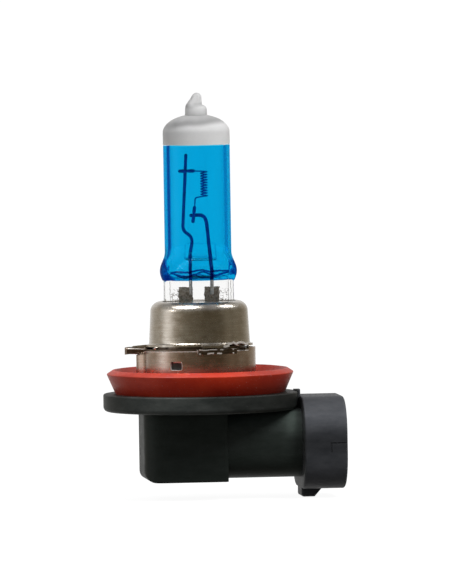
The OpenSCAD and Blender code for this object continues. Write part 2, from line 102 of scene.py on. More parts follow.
flange_top_z = seal_low.z
seal_edge_z = -3.35
flange_low_z = -9.5
flange_r = housing_high.y
spigot_gap = 0.05
spigot_r = ring_r - ring_t - spigot_gap
box_x = (-10.0, 3.8)
box_y = 15
box_low_z = span("rear_cover")[0].z
box_r = 3.5
box_edge_r = 0.5
axis_z = -15.1
mouth_x = housing_high.x
collar_depth = 7.2
collar_x = mouth_x - collar_depth
collar = (20, 15.4)
collar_corner = 5.75
collar_wall = 1.5
neck = (14.2, 11.4)
neck_corner = 4


# ---- shape helpers ----

def ease(t):
    """0 to 1, slow at both ends, flat outside."""
    t = min(1, max(0, t))
    return (1 - math.cos(math.pi * t)) / 2


def mix(a, b, t):
    return a + (b - a) * t


def levels(low, high, count):
    return [mix(low, high, i / (count - 1)) for i in range(count)]


def arc(centre, r, start, end, steps=6):
    """Points of an arc, from one angle to another in degrees."""
    angles = [math.radians(mix(start, end, i / steps)) for i in range(steps + 1)]
    return [(centre[0] + r * math.cos(a), centre[1] + r * math.sin(a)) for a in angles]


def ripple(x, y, z, size=1.0, seed=0.0):
    """Smooth noise from -1 to 1."""
    return noise.noise(Vector((x / size + seed, y / size - seed, z / size + 7.3 * seed)))


def loft(rings, closed=False, caps=True):
    """Skins rings of equal length. A closed loft joins its last ring to its first."""
    n = len(rings[0])
    count = len(rings)
    verts = [p for ring in rings for p in ring]
    faces = []
    for i in range(count if closed else count - 1):
        a, b = i * n, (i + 1) % count * n
        faces += [(a + k, a + (k + 1) % n, b + (k + 1) % n, b + k) for k in range(n)]
    if caps and not closed:
        faces += [tuple(range(n))[::-1], tuple(range((count - 1) * n, count * n))]
    return verts, faces


def turned(point, stations, steps=288):
    """A ring for each station: the point at even angles, given the station's values."""
    angles = [2 * math.pi * k / steps for k in range(steps)]
    return [[point(a, *station) for a in angles] for station in stations]


def on_circle(a, r, z):
    return r * math.cos(a), r * math.sin(a), z


def revolve(profile, closed=False, point=on_circle):
    """Turns (radius, height) points about the axis. A closed profile gives a ring."""
    return loft(turned(point, profile, 224), closed)


def smooth_route(points, steps=8):
    """A Catmull-Rom curve through points."""
    pts = [Vector(p) for p in points]
    pts = [2 * pts[0] - pts[1], *pts, 2 * pts[-1] - pts[-2]]
    out = []
    for i in range(1, len(pts) - 2):
        a, b, c, d = pts[i - 1:i + 3]
        for s in range(steps):
            t = s / steps
            out.append(
                0.5 * (2 * b + (c - a) * t + (2 * a - 5 * b + 4 * c - d) * t ** 2
                       + (3 * b - a - 3 * c + d) * t ** 3)
            )
    return out + [pts[-2]]


def tube(path, radius, sides=16):
    """A round rod with domed ends along a path, its rings carried on without twist."""
    path = [Vector(p) for p in path]
    n = len(path)
    along = [(path[min(i + 1, n - 1)] - path[max(i - 1, 0)]).normalized() for i in range(n)]
    side = along[0].orthogonal().normalized()
    dome = {0: (-80, -60, -40, -20, 0), n - 1: (0, 20, 40, 60, 80)}

    def spoke(a, centre, direction, r):
        return tuple(centre + r * (math.cos(a) * side + math.sin(a) * direction.cross(side)))

    rings = []
    for i in range(n):
        side = (side - side.dot(along[i]) * along[i]).normalized()
        r = radius(i / (n - 1)) if callable(radius) else radius
        turns = [math.radians(degrees) for degrees in dome.get(i, (0,))]
        rings += turned(spoke, [
            (path[i] + along[i] * r * math.sin(a), along[i], r * math.cos(a)) for a in turns
        ], sides)
    return loft(rings)


def rounded_rect(width, height, r, steps=8):
    """Outline of a rounded rectangle, anticlockwise."""
    x, y = width / 2 - r, height / 2 - r
    corners = [((x, y), 0), ((-x, y), 90), ((-x, -y), 180), ((x, -y), 270)]
    return [p for c, start in corners for p in arc(c, r, start, start + 90, steps)]


def block(low, high, r=0.2):
    """A block whose long edges along X are rounded."""
    width, height = high[1] - low[1], high[2] - low[2]
    outline = rounded_rect(width, height, min(r, width / 2.1, height / 2.1), 5)
    cy, cz = (low[1] + high[1]) / 2, (low[2] + high[2]) / 2
    return loft([[(x, cy + a, cz + b) for a, b in outline] for x in (low[0], high[0])])


def moved(shape, matrix):
    verts, faces = shape
    return [tuple(matrix @ Vector(v)) for v in verts], faces


def make_mesh(name, shape):
    """A mesh of a shape, or the mesh itself if it's one already."""
    if isinstance(shape, bpy.types.Mesh):
        return shape
    verts, faces = shape
    mesh = bpy.data.meshes.new(name)
    mesh.from_pydata([tuple(v) for v in verts], [], faces)
    work = bmesh.new()
    work.from_mesh(mesh)
    bmesh.ops.remove_doubles(work, verts=work.verts, dist=1e-5)
    bmesh.ops.recalc_face_normals(work, faces=work.faces)
    work.to_mesh(mesh)
    work.free()
    return mesh


def with_meshes(mesh, others):
    """Adds other meshes to a mesh."""
    work = bmesh.new()
    for part in (mesh, *others):
        work.from_mesh(part)
    work.to_mesh(mesh)
    work.free()
    return mesh


def piece(name, shape, materials, nodes, sharp=32):
    """Puts a shape made in millimetres into the frame, in place of its CAD node."""
    mesh = make_mesh(name, shape)
    mesh.transform(Matrix.Scale(MM, 4))
    for material in materials:
        mesh.materials.append(material)
    mesh.shade_smooth()
    mesh.set_sharp_from_angle(angle=math.radians(sharp))
    obj = bpy.data.objects.new(name, mesh)
    scene.collection.objects.link(obj)
    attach(obj, "root")
    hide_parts(*nodes)
    return obj


def cut_and_join(name, body, adds=(), cuts=()):
    """Exact booleans on shapes in millimetres. Returns the final mesh."""
    main = bpy.data.objects.new(name, make_mesh(name, body))
    scene.collection.objects.link(main)
    helpers = []
    for kind, shapes in (("UNION", adds), ("DIFFERENCE", cuts)):
        for i, shape in enumerate(shapes):
            tool = bpy.data.objects.new(f"tool_{kind}_{i}", make_mesh("tool", shape))
            scene.collection.objects.link(tool)
            helpers.append(tool)
            modifier = main.modifiers.new("cut", "BOOLEAN")
            modifier.operation = kind
            modifier.solver = "EXACT"
            modifier.object = tool
    graph = bpy.context.evaluated_depsgraph_get()
    mesh = bpy.data.meshes.new_from_object(main.evaluated_get(graph))
    for obj in (main, *helpers):
        bpy.data.objects.remove(obj)
    mesh.name = name
    mesh.materials.clear()
    return mesh


# ---- material helpers ----

class Look:
    """The nodes of a material, or of the world, with a short call for each kind."""

    def __init__(self, name, library="materials"):
        self.owner = getattr(bpy.data, library).new(name)
        self.owner.use_nodes = True
        self.tree = self.owner.node_tree
        self.tree.nodes.clear()

    def wire(self, value, socket):
        """Links a node's output, or sets a plain value. A colour may come without alpha."""
        if isinstance(value, bpy.types.NodeSocket):
            self.tree.links.new(value, socket)
        elif socket.type == "RGBA":
            socket.default_value = (*value[:3], 1)
        else:
            socket.default_value = value

    def add(self, kind, settings=None, **inputs):
        """A shader node. Underscores in input names stand for spaces."""
        made = self.tree.nodes.new("ShaderNode" + kind)
        for key, value in (settings or {}).items():
            setattr(made, key, value)
        for key, value in inputs.items():
            self.wire(value, made.inputs[key.replace("_", " ")])
        return made

    def finish(self, shader, output="OutputMaterial"):
        """Wires the shader to the output and returns the material or the world."""
        self.tree.links.new(shader.outputs[0], self.add(output).inputs["Surface"])
        return self.owner

    def surface(self, **inputs):
        """The material, as one principled shader with these inputs."""
        return self.finish(self.add("BsdfPrincipled", **inputs))

    def calc(self, operation, a, b=0.0):
        made = self.add("Math", {"operation": operation})
        self.wire(a, made.inputs[0])
        self.wire(b, made.inputs[1])
        return made.outputs[0]

    times = partialmethod(calc, "MULTIPLY")
    plus = partialmethod(calc, "ADD")
    minus = partialmethod(calc, "SUBTRACT")
    size = partialmethod(calc, "ABSOLUTE")
    most = partialmethod(calc, "MAXIMUM")

    def blend(self, share, a, b, kind="MIX"):
        """A colour between two others."""
        made = self.add("Mix", {"data_type": "RGBA", "blend_type": kind})
        for value, socket in ((share, 0), (a, 6), (b, 7)):
            self.wire(value, made.inputs[socket])
        return made.outputs[2]

    def over(self, share, under, upper):
        """One shader laid over another."""
        made = self.add("MixShader", Fac=share)
        for shader, socket in ((under, 1), (upper, 2)):
            self.tree.links.new(shader.outputs[0], made.inputs[socket])
        return made

    def tinted(self, colour, factor):
        """A colour made lighter or darker by a factor."""
        grey = self.add("CombineXYZ", X=factor, Y=factor, Z=factor).outputs[0]
        return self.blend(1.0, colour, grey, "MULTIPLY")

    def ramp(self, value, low, high, to_low=0, to_high=1):
        """Maps a value's range onto another, clamped."""
        ends = {"From_Min": low, "From_Max": high, "To_Min": to_low, "To_Max": to_high}
        return self.add("MapRange", Value=value, **ends).outputs[0]

    def colours(self, share, stops, interpolation="LINEAR"):
        """Colours that run through (place, colour) stops."""
        made = self.add("ValToRGB", Fac=share)
        made.color_ramp.interpolation = interpolation
        elements = made.color_ramp.elements
        while len(elements) > 1:
            elements.remove(elements[-1])
        for i, (at, colour) in enumerate(stops):
            stop = elements.new(at) if i else elements[0]
            stop.position = at
            stop.color = (*colour, 1)
        return made.outputs[0]

    def curve(self, value, stops):
        """A smooth curve through (place, height) stops, level before and after them."""
        low, high = stops[0][0], stops[-1][0]
        base = min(height for _, height in stops)
        reach = max(height for _, height in stops) - base
        shares = [((at - low) / (high - low), ((h - base) / reach,) * 3) for at, h in stops]
        share = self.colours(self.ramp(value, low, high), shares, "CARDINAL")
        return self.plus(self.times(share, reach), base)

    def place(self, stretch=(1, 1, 1)):
        """Object coordinates in millimetres, scaled by stretch."""
        coordinates = self.add("TexCoord").outputs["Object"]
        scale = tuple(s / MM for s in stretch)
        return self.add("Mapping", Vector=coordinates, Scale=scale).outputs[0]

    def axes(self):
        """X, Y and Z in millimetres."""
        return self.add("SeparateXYZ", Vector=self.place()).outputs

    def grain(self, size, stretch=(1, 1, 1), detail=3.0, rough=0.55):
        """Noise whose features are about size millimetres, drawn out by stretch."""
        vector = self.place(tuple(1 / s for s in stretch))
        return self.add(
            "TexNoise", Vector=vector, Scale=1 / size, Detail=detail, Roughness=rough
        ).outputs["Fac"]

    def bump(self, height, depth, strength=1.0):
        """A normal from a height whose full range is depth millimetres."""
        return self.add("Bump", Height=height, Distance=depth * MM, Strength=strength).outputs[0]


# ---- materials ----

def quartz(m, ior, colour=(0.985, 0.985, 0.98)):
    """The shader of clear quartz, with faint streaks from the drawing of the tube."""
    streaks = m.grain(0.9, (1, 1, 9), 2.0)
    return m.add(
        "BsdfPrincipled", Base_Color=colour, Roughness=0.0, IOR=ior,
        Transmission_Weight=1.0, Normal=m.bump(streaks, 0.012, 0.6),
    )


def bead_quartz():
    """Quartz that hardly bends the light, as it sits in blue light, with painted blue shade along
    its edges in place of the refraction there.
    """
    m = Look("bead_quartz")
    low, high = span("quartz_bridge")
    x, _, z = m.axes()
    # painted shade: blue lines along the block's edges stand in for the refraction at them
    edge = 0.0
    sides = ((x, low.x + 0.12), (x, high.x - 0.12), (z, low.z + 0.1), (z, high.z - 0.1))
    for value, at in sides:
        edge = m.most(edge, m.ramp(m.size(m.minus(value, at)), 0.05, 0.14, 1, 0))
    edge = m.times(edge, m.ramp(m.grain(0.4), 0.35, 0.6, 0.3, 1))
    return m.finish(quartz(m, 1.06, m.blend(edge, (0.985, 0.985, 0.98), (0.3, 0.58, 0.75))))


def burner_quartz():
    """Quartz whose pinch carries painted shade on its front: dark squiggles over the jaws' ripples
    and dark lines at the edge steps.
    """
    m = Look("quartz")
    x, y, z = m.axes()
    across = m.size(x)
    # painted shade: dark squiggles over the ripples that the jaws left in the web
    contour = m.size(m.minus(m.grain(0.55, detail=2.0), 0.5))
    squiggle = m.ramp(contour, 0.02, 0.045, 0.9, 0)
    for value, low, high in ((across, 3.3, 3.6), (z, 8.2, 8.5)):
        squiggle = m.times(squiggle, m.ramp(value, low, high))
    for value, low, high in ((across, 4.7, 4.95), (z, 10.4, 10.9)):
        squiggle = m.times(squiggle, m.ramp(value, low, high, 1, 0))
    wander = m.times(m.minus(m.grain(0.8), 0.5), 0.35)
    # painted shade: thin dark lines at the edge steps of the pinch, below the coat
    line = 0.0
    for at, strength in ((-4.95, 0.85), (4.8, 0.7), (5.2, 0.85), (5.62, 0.85)):
        off = m.size(m.minus(m.plus(x, wander), at))
        line = m.most(line, m.ramp(off, 0.02, 0.07, strength, 0))
    line = m.times(line, m.ramp(z, blue_low.z - 0.2, blue_low.z, 1, 0))
    mark = m.times(m.most(squiggle, line), m.ramp(y, -0.3, -0.1, 1, 0))
    # painted shade: the dark shader of these lines, laid on the front face only
    stain = m.add("BsdfDiffuse", Color=(0.16, 0.14, 0.115))
    return m.finish(m.over(mark, quartz(m, 1.458), stain))


# painted shade along the wavy floor of the hollow that the closing jaws pressed: crests and troughs
# of each dark line, as (x, z)
FLOOR_SHADE_LINES = [
    [(-5, 13.6), (-3.4, 13.65), (-1.9, 13.55), (0.1, 13.95), (1.6, 13.65), (3.1, 13.75), (5, 13.7)],
    [(-5, 13.5), (-3.4, 13.05), (-1.7, 12.85), (-0.6, 13.3), (0.7, 13.6), (2, 13.1), (3.5, 13.1),
     (5, 13.6)],
    [(-5, 13.4), (-4.3, 13.3), (-2.5, 12.55), (-1, 13.1), (0.3, 12.65), (2, 12.75), (3.8, 13.3),
     (5, 13.5)],
]
# half width beyond which painted shade darkens the flare's corners, against height
LEFT_CORNER_SHADE = [(12, 3.6), (12.9, 4.5), (13.8, 5.25), (15.7, 5.55), (16.6, 6.6), (17, 6.8)]
RIGHT_CORNER_SHADE = [
    (12, 6.6), (12.9, 5.9), (13.5, 5.2), (14.75, 5.5), (15.7, 5.7), (16.6, 6.6), (17, 6.8),
]


def blue_coat():
    """A clear filter coat: it tints what is seen through it, more at a slant, with painted shade in
    a band near the silhouette, in wavy lines over the hollow's floor and in the flare's corners.
    """
    m = Look("blue_filter_coat")
    x, y, z = m.axes()
    slant = m.add("LayerWeight", Blend=0.5).outputs["Facing"]
    face = m.blend(m.grain(5, (1, 1, 2.5), 2.0), (0.03, 0.6, 0.85), (0.045, 0.66, 0.9))
    # partly real, partly painted shade: the tint deepens at a slant, and a darker band near the
    # silhouette, darker on the left, is painted shade
    grazed = m.curve(slant, [(0, 0), (0.38, 0), (0.45, 1), (0.53, 1), (0.59, 0.12), (1, 0.2)])
    band = m.blend(m.ramp(x, -1, 1), (0.003, 0.33, 0.65), (0.008, 0.5, 0.8))
    tint = m.blend(grazed, face, band)
    level = m.plus(z, m.times(m.minus(m.grain(0.6), 0.5), 0.3))
    above = [m.minus(level, m.curve(x, stops)) for stops in FLOOR_SHADE_LINES]
    # painted shade: dark wavy lines over the hollow's floor, where it looks dark through the glass
    floor_shade = m.times(
        m.ramp(m.grain(0.32, (4, 1, 1), 2.0), 0.5, 0.62, 0, 0.7), m.ramp(above[0], -0.1, 0, 1, 0)
    )
    for off in above:
        floor_shade = m.most(floor_shade, m.ramp(m.size(off), 0.09, 0.21, 1, 0))
    floor_shade = m.times(floor_shade, m.ramp(m.size(x), 4.85, 5.0, 1, 0))
    floor_shade = m.times(floor_shade, m.ramp(y, -0.2, 0.2, 1, 0))
    # painted shade in the flare's corners, and a darker tint along the coat's lower edge
    corner_shade = m.ramp(z, blue_low.z + 0.08, blue_low.z + 0.3, 0.6, 0)
    for sign, stops in ((-1.0, LEFT_CORNER_SHADE), (1.0, RIGHT_CORNER_SHADE)):
        beyond = m.minus(m.times(x, sign), m.curve(level, stops))
        corner_shade = m.most(corner_shade, m.ramp(beyond, -0.05, 0.25))
    tint = m.blend(corner_shade, tint, (0.0, 0.15, 0.46))
    tint = m.blend(floor_shade, tint, (0.0, 0.055, 0.29))
    clear = m.add("BsdfTransparent", Color=tint)
    gloss = m.add("BsdfGlossy", Color=(0.6, 0.8, 1.0), Roughness=0.04)
    mirrored = m.ramp(m.add("Fresnel", IOR=1.35).outputs[0], 0, 1, 0.004, 0.14)
    return m.finish(m.over(mirrored, clear, gloss))


def clear_back():
    """The inner face of the filter coat, which adds nothing of its own."""
    m = Look("filter_coat_inside")
    return m.finish(m.add("BsdfTransparent", Color=(1, 1, 1)))


def cap_paint():
    """Dull grey paint, with painted shade in a band over the shoulder of the dome, strongest left
    of the middle, and in the crease at the foot of the tip.
    """
    m = Look("cap_paint")
    x, _, z = m.axes()
    cloud = m.grain(3.0, detail=4.0)
    specks = m.grain(0.12, detail=2.0)
    base = m.blend(m.ramp(cloud, 0.3, 0.7), (0.73, 0.73, 0.73), (0.81, 0.81, 0.805))
    base = m.blend(m.ramp(specks, 0.6, 0.8, 0, 0.3), base, (0.45, 0.45, 0.45))
    uneven = m.plus(m.plus(z, m.times(x, -0.11)), m.times(cloud, 0.5))
    # painted shade: a band over the dome's shoulder, a dark crease at the foot of the tip and a
    # little on the tip
    dark = m.curve(uneven, [
        (36, 0), (37.85, 0), (38.7, 0.75), (39.4, 0.5), (40.2, 0.22), (41.1, 0.04), (41.6, 0.4),
        (42.1, 0.1), (44, 0.2),
    ])
    dark = m.times(m.times(dark, m.ramp(x, -2.5, 4, 1, 0.85)), m.ramp(x, -5.3, -3.8, 0.4, 1))
    return m.surface(
        Base_Color=m.blend(dark, base, (0.2, 0.2, 0.2)),
        Roughness=m.ramp(cloud, 0.2, 0.8, 0.45, 0.6),
        Specular_IOR_Level=0.3, Normal=m.bump(specks, 0.02, 0.5),
    )


def lead_metal(name, dark, light):
    """Drawn refractory wire: coloured blue where it stands behind the blue coat, as painted blue
    light, and bare where it's sealed in the pinch.
    """
    m = Look(name)
    patches = m.grain(0.5, detail=3.0)
    lines = m.grain(0.06, (1, 1, 8), 2.0)
    patchy = m.ramp(patches, 0.35, 0.65)
    blue_lit = m.blend(patchy, dark, light)
    bare = m.blend(patchy, (0.4, 0.38, 0.35), (0.75, 0.73, 0.7))
    # painted blue light: the wire turns blue above the coat's lower edge
    behind_coat = m.ramp(m.axes()[2], blue_low.z - 0.1, blue_low.z + 0.3)
    return m.surface(
        Base_Color=m.blend(behind_coat, bare, blue_lit), Metallic=m.ramp(behind_coat, 0, 1, 0.8, 0.15),
        Roughness=m.ramp(patches, 0.3, 0.7, 0.5, 0.65), Normal=m.bump(lines, 0.01, 0.4),
    )


def foil_metal():
    m = Look("sealed_foil")
    blotches = m.grain(0.35, detail=5.0, rough=0.7)
    wrinkles = m.grain(0.22, (1, 1, 3), 3.0)
    base = m.blend(m.ramp(blotches, 0.35, 0.65), (0.12, 0.1, 0.075), (0.5, 0.44, 0.37))
    return m.surface(
        Base_Color=base, Metallic=0.3, Roughness=0.5, Normal=m.bump(wrinkles, 0.05, 0.8)
    )


def sheet_steel(name, light, dark, rough, stain, metallic=1.0):
    """Drawn stainless sheet: fine turned lines, faint scuffs and a brownish stain in places."""
    m = Look(name)
    lines = m.grain(0.2, (22, 22, 1), 3.0, 0.7)
    scuffs = m.grain(0.9, (1.5, 1.5, 1), 4.0, 0.6)
    pits = m.grain(0.16, detail=1.0)
    clouds = m.grain(4.0, detail=3.0)
    base = m.blend(m.ramp(scuffs, 0.3, 0.7), dark, light)
    base = m.blend(m.ramp(lines, 0.35, 0.6, 0.85, 0), base, dark)
    browned = m.blend(1.0, base, (0.86, 0.7, 0.52), "MULTIPLY")
    base = m.blend(m.ramp(clouds, 0.42, 0.62, 0, stain), base, browned)
    base = m.blend(m.ramp(pits, 0.78, 0.84, 0, 0.5), base, (0.2, 0.17, 0.13))
    return m.surface(
        Base_Color=base, Metallic=metallic,
        Roughness=m.ramp(scuffs, 0.25, 0.75, rough - 0.03, rough + 0.07),
        Normal=m.bump(lines, 0.006, 0.4),
    )


def silicone():
    """Red silicone with painted light: paler on the lip, paler towards the left and darker on the
    cone towards the right, with a little dust.
    """
    m = Look("red_silicone")
    x, _, z = m.axes()
    cloud = m.grain(2.5, detail=4.0)
    dust = m.grain(0.16, detail=1.0)
    skin = m.grain(0.35, (1, 1, 0.6), 4.0)
    base = m.blend(m.ramp(cloud, 0.3, 0.7), (0.6, 0.03, 0.01), (0.72, 0.05, 0.015))
    # painted light and shade: the cone darker towards the right and the lip paler, most of all left
    # of the middle
    cone = m.curve(x, [(-15, 1), (-8, 0.95), (-3, 0.7), (1, 0.44), (6, 0.36), (15, 0.24)])
    lip = m.curve(x, [(-15, 1.2), (-6, 1.4), (3, 1.4), (7, 1), (11, 0.85), (15, 0.85)])
    on_lip = m.ramp(z, seal_high.z - 3.2, seal_high.z - 0.6)
    base = m.blend(on_lip, m.tinted(base, cone), m.tinted(base, lip))
    return m.surface(
        Base_Color=m.blend(m.ramp(dust, 0.72, 0.77, 0, 0.7), base, (0.7, 0.42, 0.38)),
        Roughness=m.ramp(skin, 0.3, 0.7, 0.36, 0.55),
        Specular_IOR_Level=0.4, Normal=m.bump(skin, 0.03, 0.5),
    )


def moulded_plastic():
    """Glass-filled black plastic: a fine stipple, with dust and painted light that make the flange
    and the collar paler, and painted highlights on the neck and the collar.
    """
    m = Look("black_moulding")
    x, _, z = m.axes()
    stipple = m.grain(0.14, detail=3.0, rough=0.6)
    smears = m.grain(1.8, (2.5, 2.5, 1), 5.0, 0.65)
    specks = m.grain(0.17, detail=0.0)
    patches = m.grain(3.5, detail=1.0)
    smeared = m.ramp(smears, 0.3, 0.7)
    deep = m.blend(m.ramp(smears, 0.35, 0.7), (0.016, 0.0205, 0.018), (0.024, 0.029, 0.0265))
    dust_and_painted_light = m.blend(smeared, (0.029, 0.034, 0.032), (0.07, 0.076, 0.071))
    bluish = m.blend(smeared, (0.028, 0.03, 0.034), (0.048, 0.05, 0.055))
    # the box and the neck: a painted highlight on the neck towards the collar, and painted light
    # that makes the box paler upwards
    neck_painted_highlight = m.curve(x, [(-10, 1), (11.4, 1), (12.6, 1.5), (13.6, 2.8), (15, 5.2), (16, 5.5)])
    box_painted_light = m.curve(z, [(-24, 1.2), (-19, 1.2), (-15, 1.75), (-12.5, 2.2), (-10.5, 3), (-9, 3)])
    upper = m.ramp(z, -14.5, -12.8, 0.12, 1)
    deep = m.tinted(deep, m.plus(m.times(m.minus(neck_painted_highlight, 1.0), upper), box_painted_light))
    # the flange: dust and painted light, palest left of the middle
    dust_and_painted_light = m.tinted(dust_and_painted_light, m.curve(x, [
        (-16, 1), (-13, 1.4), (-9, 1.9), (-6, 1.75), (-3, 1.3), (0, 1.1), (4, 0.6), (9, 0.55),
        (13, 0.4), (16, 0.4),
    ]))
    # the collar: painted highlight, palest below its top edge, and paler again low down
    bluish = m.tinted(bluish, m.curve(z, [
        (-24, 2.1), (-19, 2.1), (-16.5, 1.4), (-14.6, 1.15), (-12.8, 2.1), (-11, 3.1), (-9.6, 2.7),
        (-7, 1.8),
    ]))
    base = m.blend(m.ramp(z, flange_low_z - 0.5, flange_low_z + 0.3), deep, dust_and_painted_light)
    base = m.blend(m.ramp(x, collar_x - 0.2, collar_x + 0.1), base, bluish)
    marks = m.times(m.ramp(specks, 0.86, 0.88, 0, 0.6), m.ramp(patches, 0.5, 0.6))
    return m.surface(
        Base_Color=m.blend(marks, base, (0.3, 0.31, 0.31)),
        Roughness=m.ramp(smears, 0.25, 0.75, 0.42, 0.56),
        Specular_IOR_Level=0.12, Normal=m.bump(stipple, 0.03, 0.6),
    )


def tinned_brass():
    m = Look("tinned_brass_skin")
    patches = m.grain(0.8, detail=4.0)
    lines = m.grain(0.1, (8, 1, 1), 3.0)
    base = m.blend(m.ramp(patches, 0.4, 0.65), (0.74, 0.71, 0.64), (0.72, 0.58, 0.34))
    return m.surface(
        Base_Color=base, Metallic=1.0, Roughness=m.ramp(patches, 0.3, 0.7, 0.25, 0.4),
        Normal=m.bump(lines, 0.008, 0.5),
    )


QUARTZ = burner_quartz()
BEAD_QUARTZ = bead_quartz()
BLUE = blue_coat()
BLUE_BACK = clear_back()
CAP = cap_paint()
TUNGSTEN = lead_metal("tungsten_coil", (0.05, 0.1, 0.5), (0.08, 0.15, 0.7))
MOLYBDENUM = lead_metal("molybdenum_leads", (0.012, 0.04, 0.36), (0.03, 0.07, 0.5))
FOIL = foil_metal()
CAN_STEEL = sheet_steel("can_steel", (0.68, 0.65, 0.6), (0.48, 0.44, 0.39), 0.25, 0.2)
RING_STEEL = sheet_steel("ring_steel", (0.6, 0.52, 0.46), (0.42, 0.32, 0.27), 0.24, 0.35)
CUT_STEEL = sheet_steel("bright_cut_edges", (0.95, 0.93, 0.9), (0.8, 0.78, 0.74), 0.4, 0.1, 0.4)
LUG_STEEL = sheet_steel("lug_steel", (0.34, 0.28, 0.24), (0.12, 0.095, 0.075), 0.3, 0.6)
WELD_STEEL = sheet_steel("weld_steel_skin", (0.8, 0.78, 0.74), (0.6, 0.55, 0.5), 0.2, 0.2)
SILICONE = silicone()
PLASTIC = moulded_plastic()
BRASS = tinned_brass()


# ---- glass burner ----

HALF_POINTS = 64
HALF_ANGLES = [math.pi * (k + 0.5) / HALF_POINTS for k in range(HALF_POINTS)]


def two_sided(point):
    """A ring of the glass: the point at each angle along its front, then along its back."""
    halves = ((-1, HALF_ANGLES), (1, HALF_ANGLES[::-1]))
    return [point(side, t) for side, half in halves for t in half]


def plate_half(x):
    """Half thickness of the pinch across its width: a web between two thicker edges."""
    x = abs(x)
    edge, corner = pinch_w / 2, 0.5
    if x > edge - corner:
        return 1.2 + math.sqrt(max(0, corner ** 2 - (x - edge + corner) ** 2))
    return 1.45 + 0.25 * ease((x - 4.65) / 0.35)


def press_marks(x, z):
    """Small ripples that the jaws left in the web beside the foils."""
    near = math.exp(-((abs(x) - 4.2) / 0.5) ** 2 - ((z - 9.6) / 1.0) ** 2)
    return 0.16 * near * ripple(x, 0, z, 0.28, 3.1)


def half_width(z):
    """Half width of the glass: the pinch, the flare and the tube."""
    if z < bulge_z:
        share = math.sin(math.pi / 2 * min(1, max(0, (z - 12) / 1.8)))
        return pinch_w / 2 + (flare_w - pinch_w) / 2 * share
    return mix(flare_w / 2, tube_r, ease((z - bulge_z) / (neck_z - bulge_z)))


def outer_ring(z, grow=0.0):
    """Section of the glass: a flat plate in the pinch that turns into a circle above."""
    a = half_width(z)
    share = ease((z - 11.7) / 6.1)
    depth_r = a if z > neck_z else tube_r

    def point(side, t):
        x = a * math.cos(t)
        flat = plate_half(pinch_w / 2 * math.cos(t)) + press_marks(x, z)
        return Vector((x, side * mix(flat, depth_r * math.sin(t), share), z))

    return grown(two_sided(point), grow)


def grown(ring, grow):
    """Moves a ring outward in its own plane."""
    if not grow:
        return [tuple(p) for p in ring]
    out = []
    for i, p in enumerate(ring):
        run = ring[(i + 1) % len(ring)] - ring[i - 1]
        out.append(tuple(p + Vector((-run.y, run.x, 0)).normalized() * grow))
    return out


def round_ring(x, r, z):
    return two_sided(lambda side, t: (x + r * math.cos(t), side * r * math.sin(t), z))


def top_rings(grow=0.0):
    """The dome, the exhaust stub and its drawn-off tip, which leans off centre."""
    rings = []
    for i in range(1, 15):
        a = math.radians(71 * i / 14)
        z = dome_z + (dome_h + grow) * math.sin(a)
        rings.append(round_ring(0, (tube_r + grow) * math.cos(a), z))
    foot = dome_z + dome_h - 0.12
    # centre, radius and height of the sections up the stub, over its shoulder and the tip
    sections = [
        (0.02, stub_r + 0.03, foot), (0.02, stub_r, foot + 0.25), (0.03, stub_r, 40.5),
        (-0.01, 1.67, 40.87), (-0.1, 1.52, 41.12), (-0.25, 1.32, 41.3), (-0.3, 1.24, 41.36),
        (-0.22, 1.15, 41.6), (-0.12, 1.04, 41.9), (0.02, 0.9, 42.25), (0.12, 0.76, 42.65),
        (0.17, 0.62, 42.95), (0.2, 0.42, 43.15), (0.2, 0.18, tip_z - 0.01),
    ]
    return rings + [round_ring(x, r + grow, z + grow) for x, r, z in sections]


def outer_rings(low, high, grow=0.0, dome=False):
    """Rings of the glass between two heights, close together in the flare."""
    spans = (levels(8.2, 11.4, 17), levels(11.6, 18.0, 33), levels(18.8, dome_z, 12))
    stops = [low, *(z for heights in spans for z in heights if low < z < high), high]
    rings = [outer_ring(z, grow) for z in stops]
    return rings + top_rings(grow) if dome else rings


def cavity():
    """The hollow: a wavy slit at its foot that opens into the round bore."""
    floor_z, round_z = 13.0, 18.6
    rings = []
    for z in levels(floor_z, round_z, 30) + levels(19.4, dome_z, 10):
        flare = 4.85 + 0.3 * math.sin(math.pi / 2 * min(1, max(0, (z - floor_z) / 1.5)))
        half = flare if z < 14.5 else mix(5.15, bore_r, ease((z - 14.5) / 2.6))
        share = ease((z - floor_z + 0.35) / (round_z - floor_z))
        settled = 1 - ease((z - floor_z) / 2.2)

        def point(side, t):
            """Where the jaws closed the tube, the floor lies higher at mid width."""
            x = half * math.cos(t)
            depth = mix(0.1, min(half, bore_r) * math.sin(t), share)
            return x, side * depth, z + settled * 0.35 * math.exp(-x ** 2 / 7)

        rings.append(two_sided(point))
    for i in range(1, 12):
        a = math.radians(88 * i / 11)
        rings.append(round_ring(0, bore_r * math.cos(a), dome_z + (dome_h - 1.15) * math.sin(a)))
    verts, faces = loft(rings, caps=False)
    n = 2 * HALF_POINTS
    # the slit's foot is zipped front to back, the dome's top is one face
    faces += [(k, n - 1 - k, n - 2 - k, k + 1) for k in range(HALF_POINTS - 1)]
    faces.append(tuple(range((len(rings) - 1) * n, len(rings) * n)))
    return verts, faces


def burner_glass():
    """The glass: an outer skin and an inner skin that faces the hollow."""
    outer = make_mesh("burner_glass", loft(outer_rings(glass_low.z, dome_z, 0, True)))
    inner = make_mesh("inner", cavity())
    inner.flip_normals()
    mesh = with_meshes(outer, [inner])
    piece("burner_glass", mesh, [QUARTZ], ["glass_envelope"], 40)


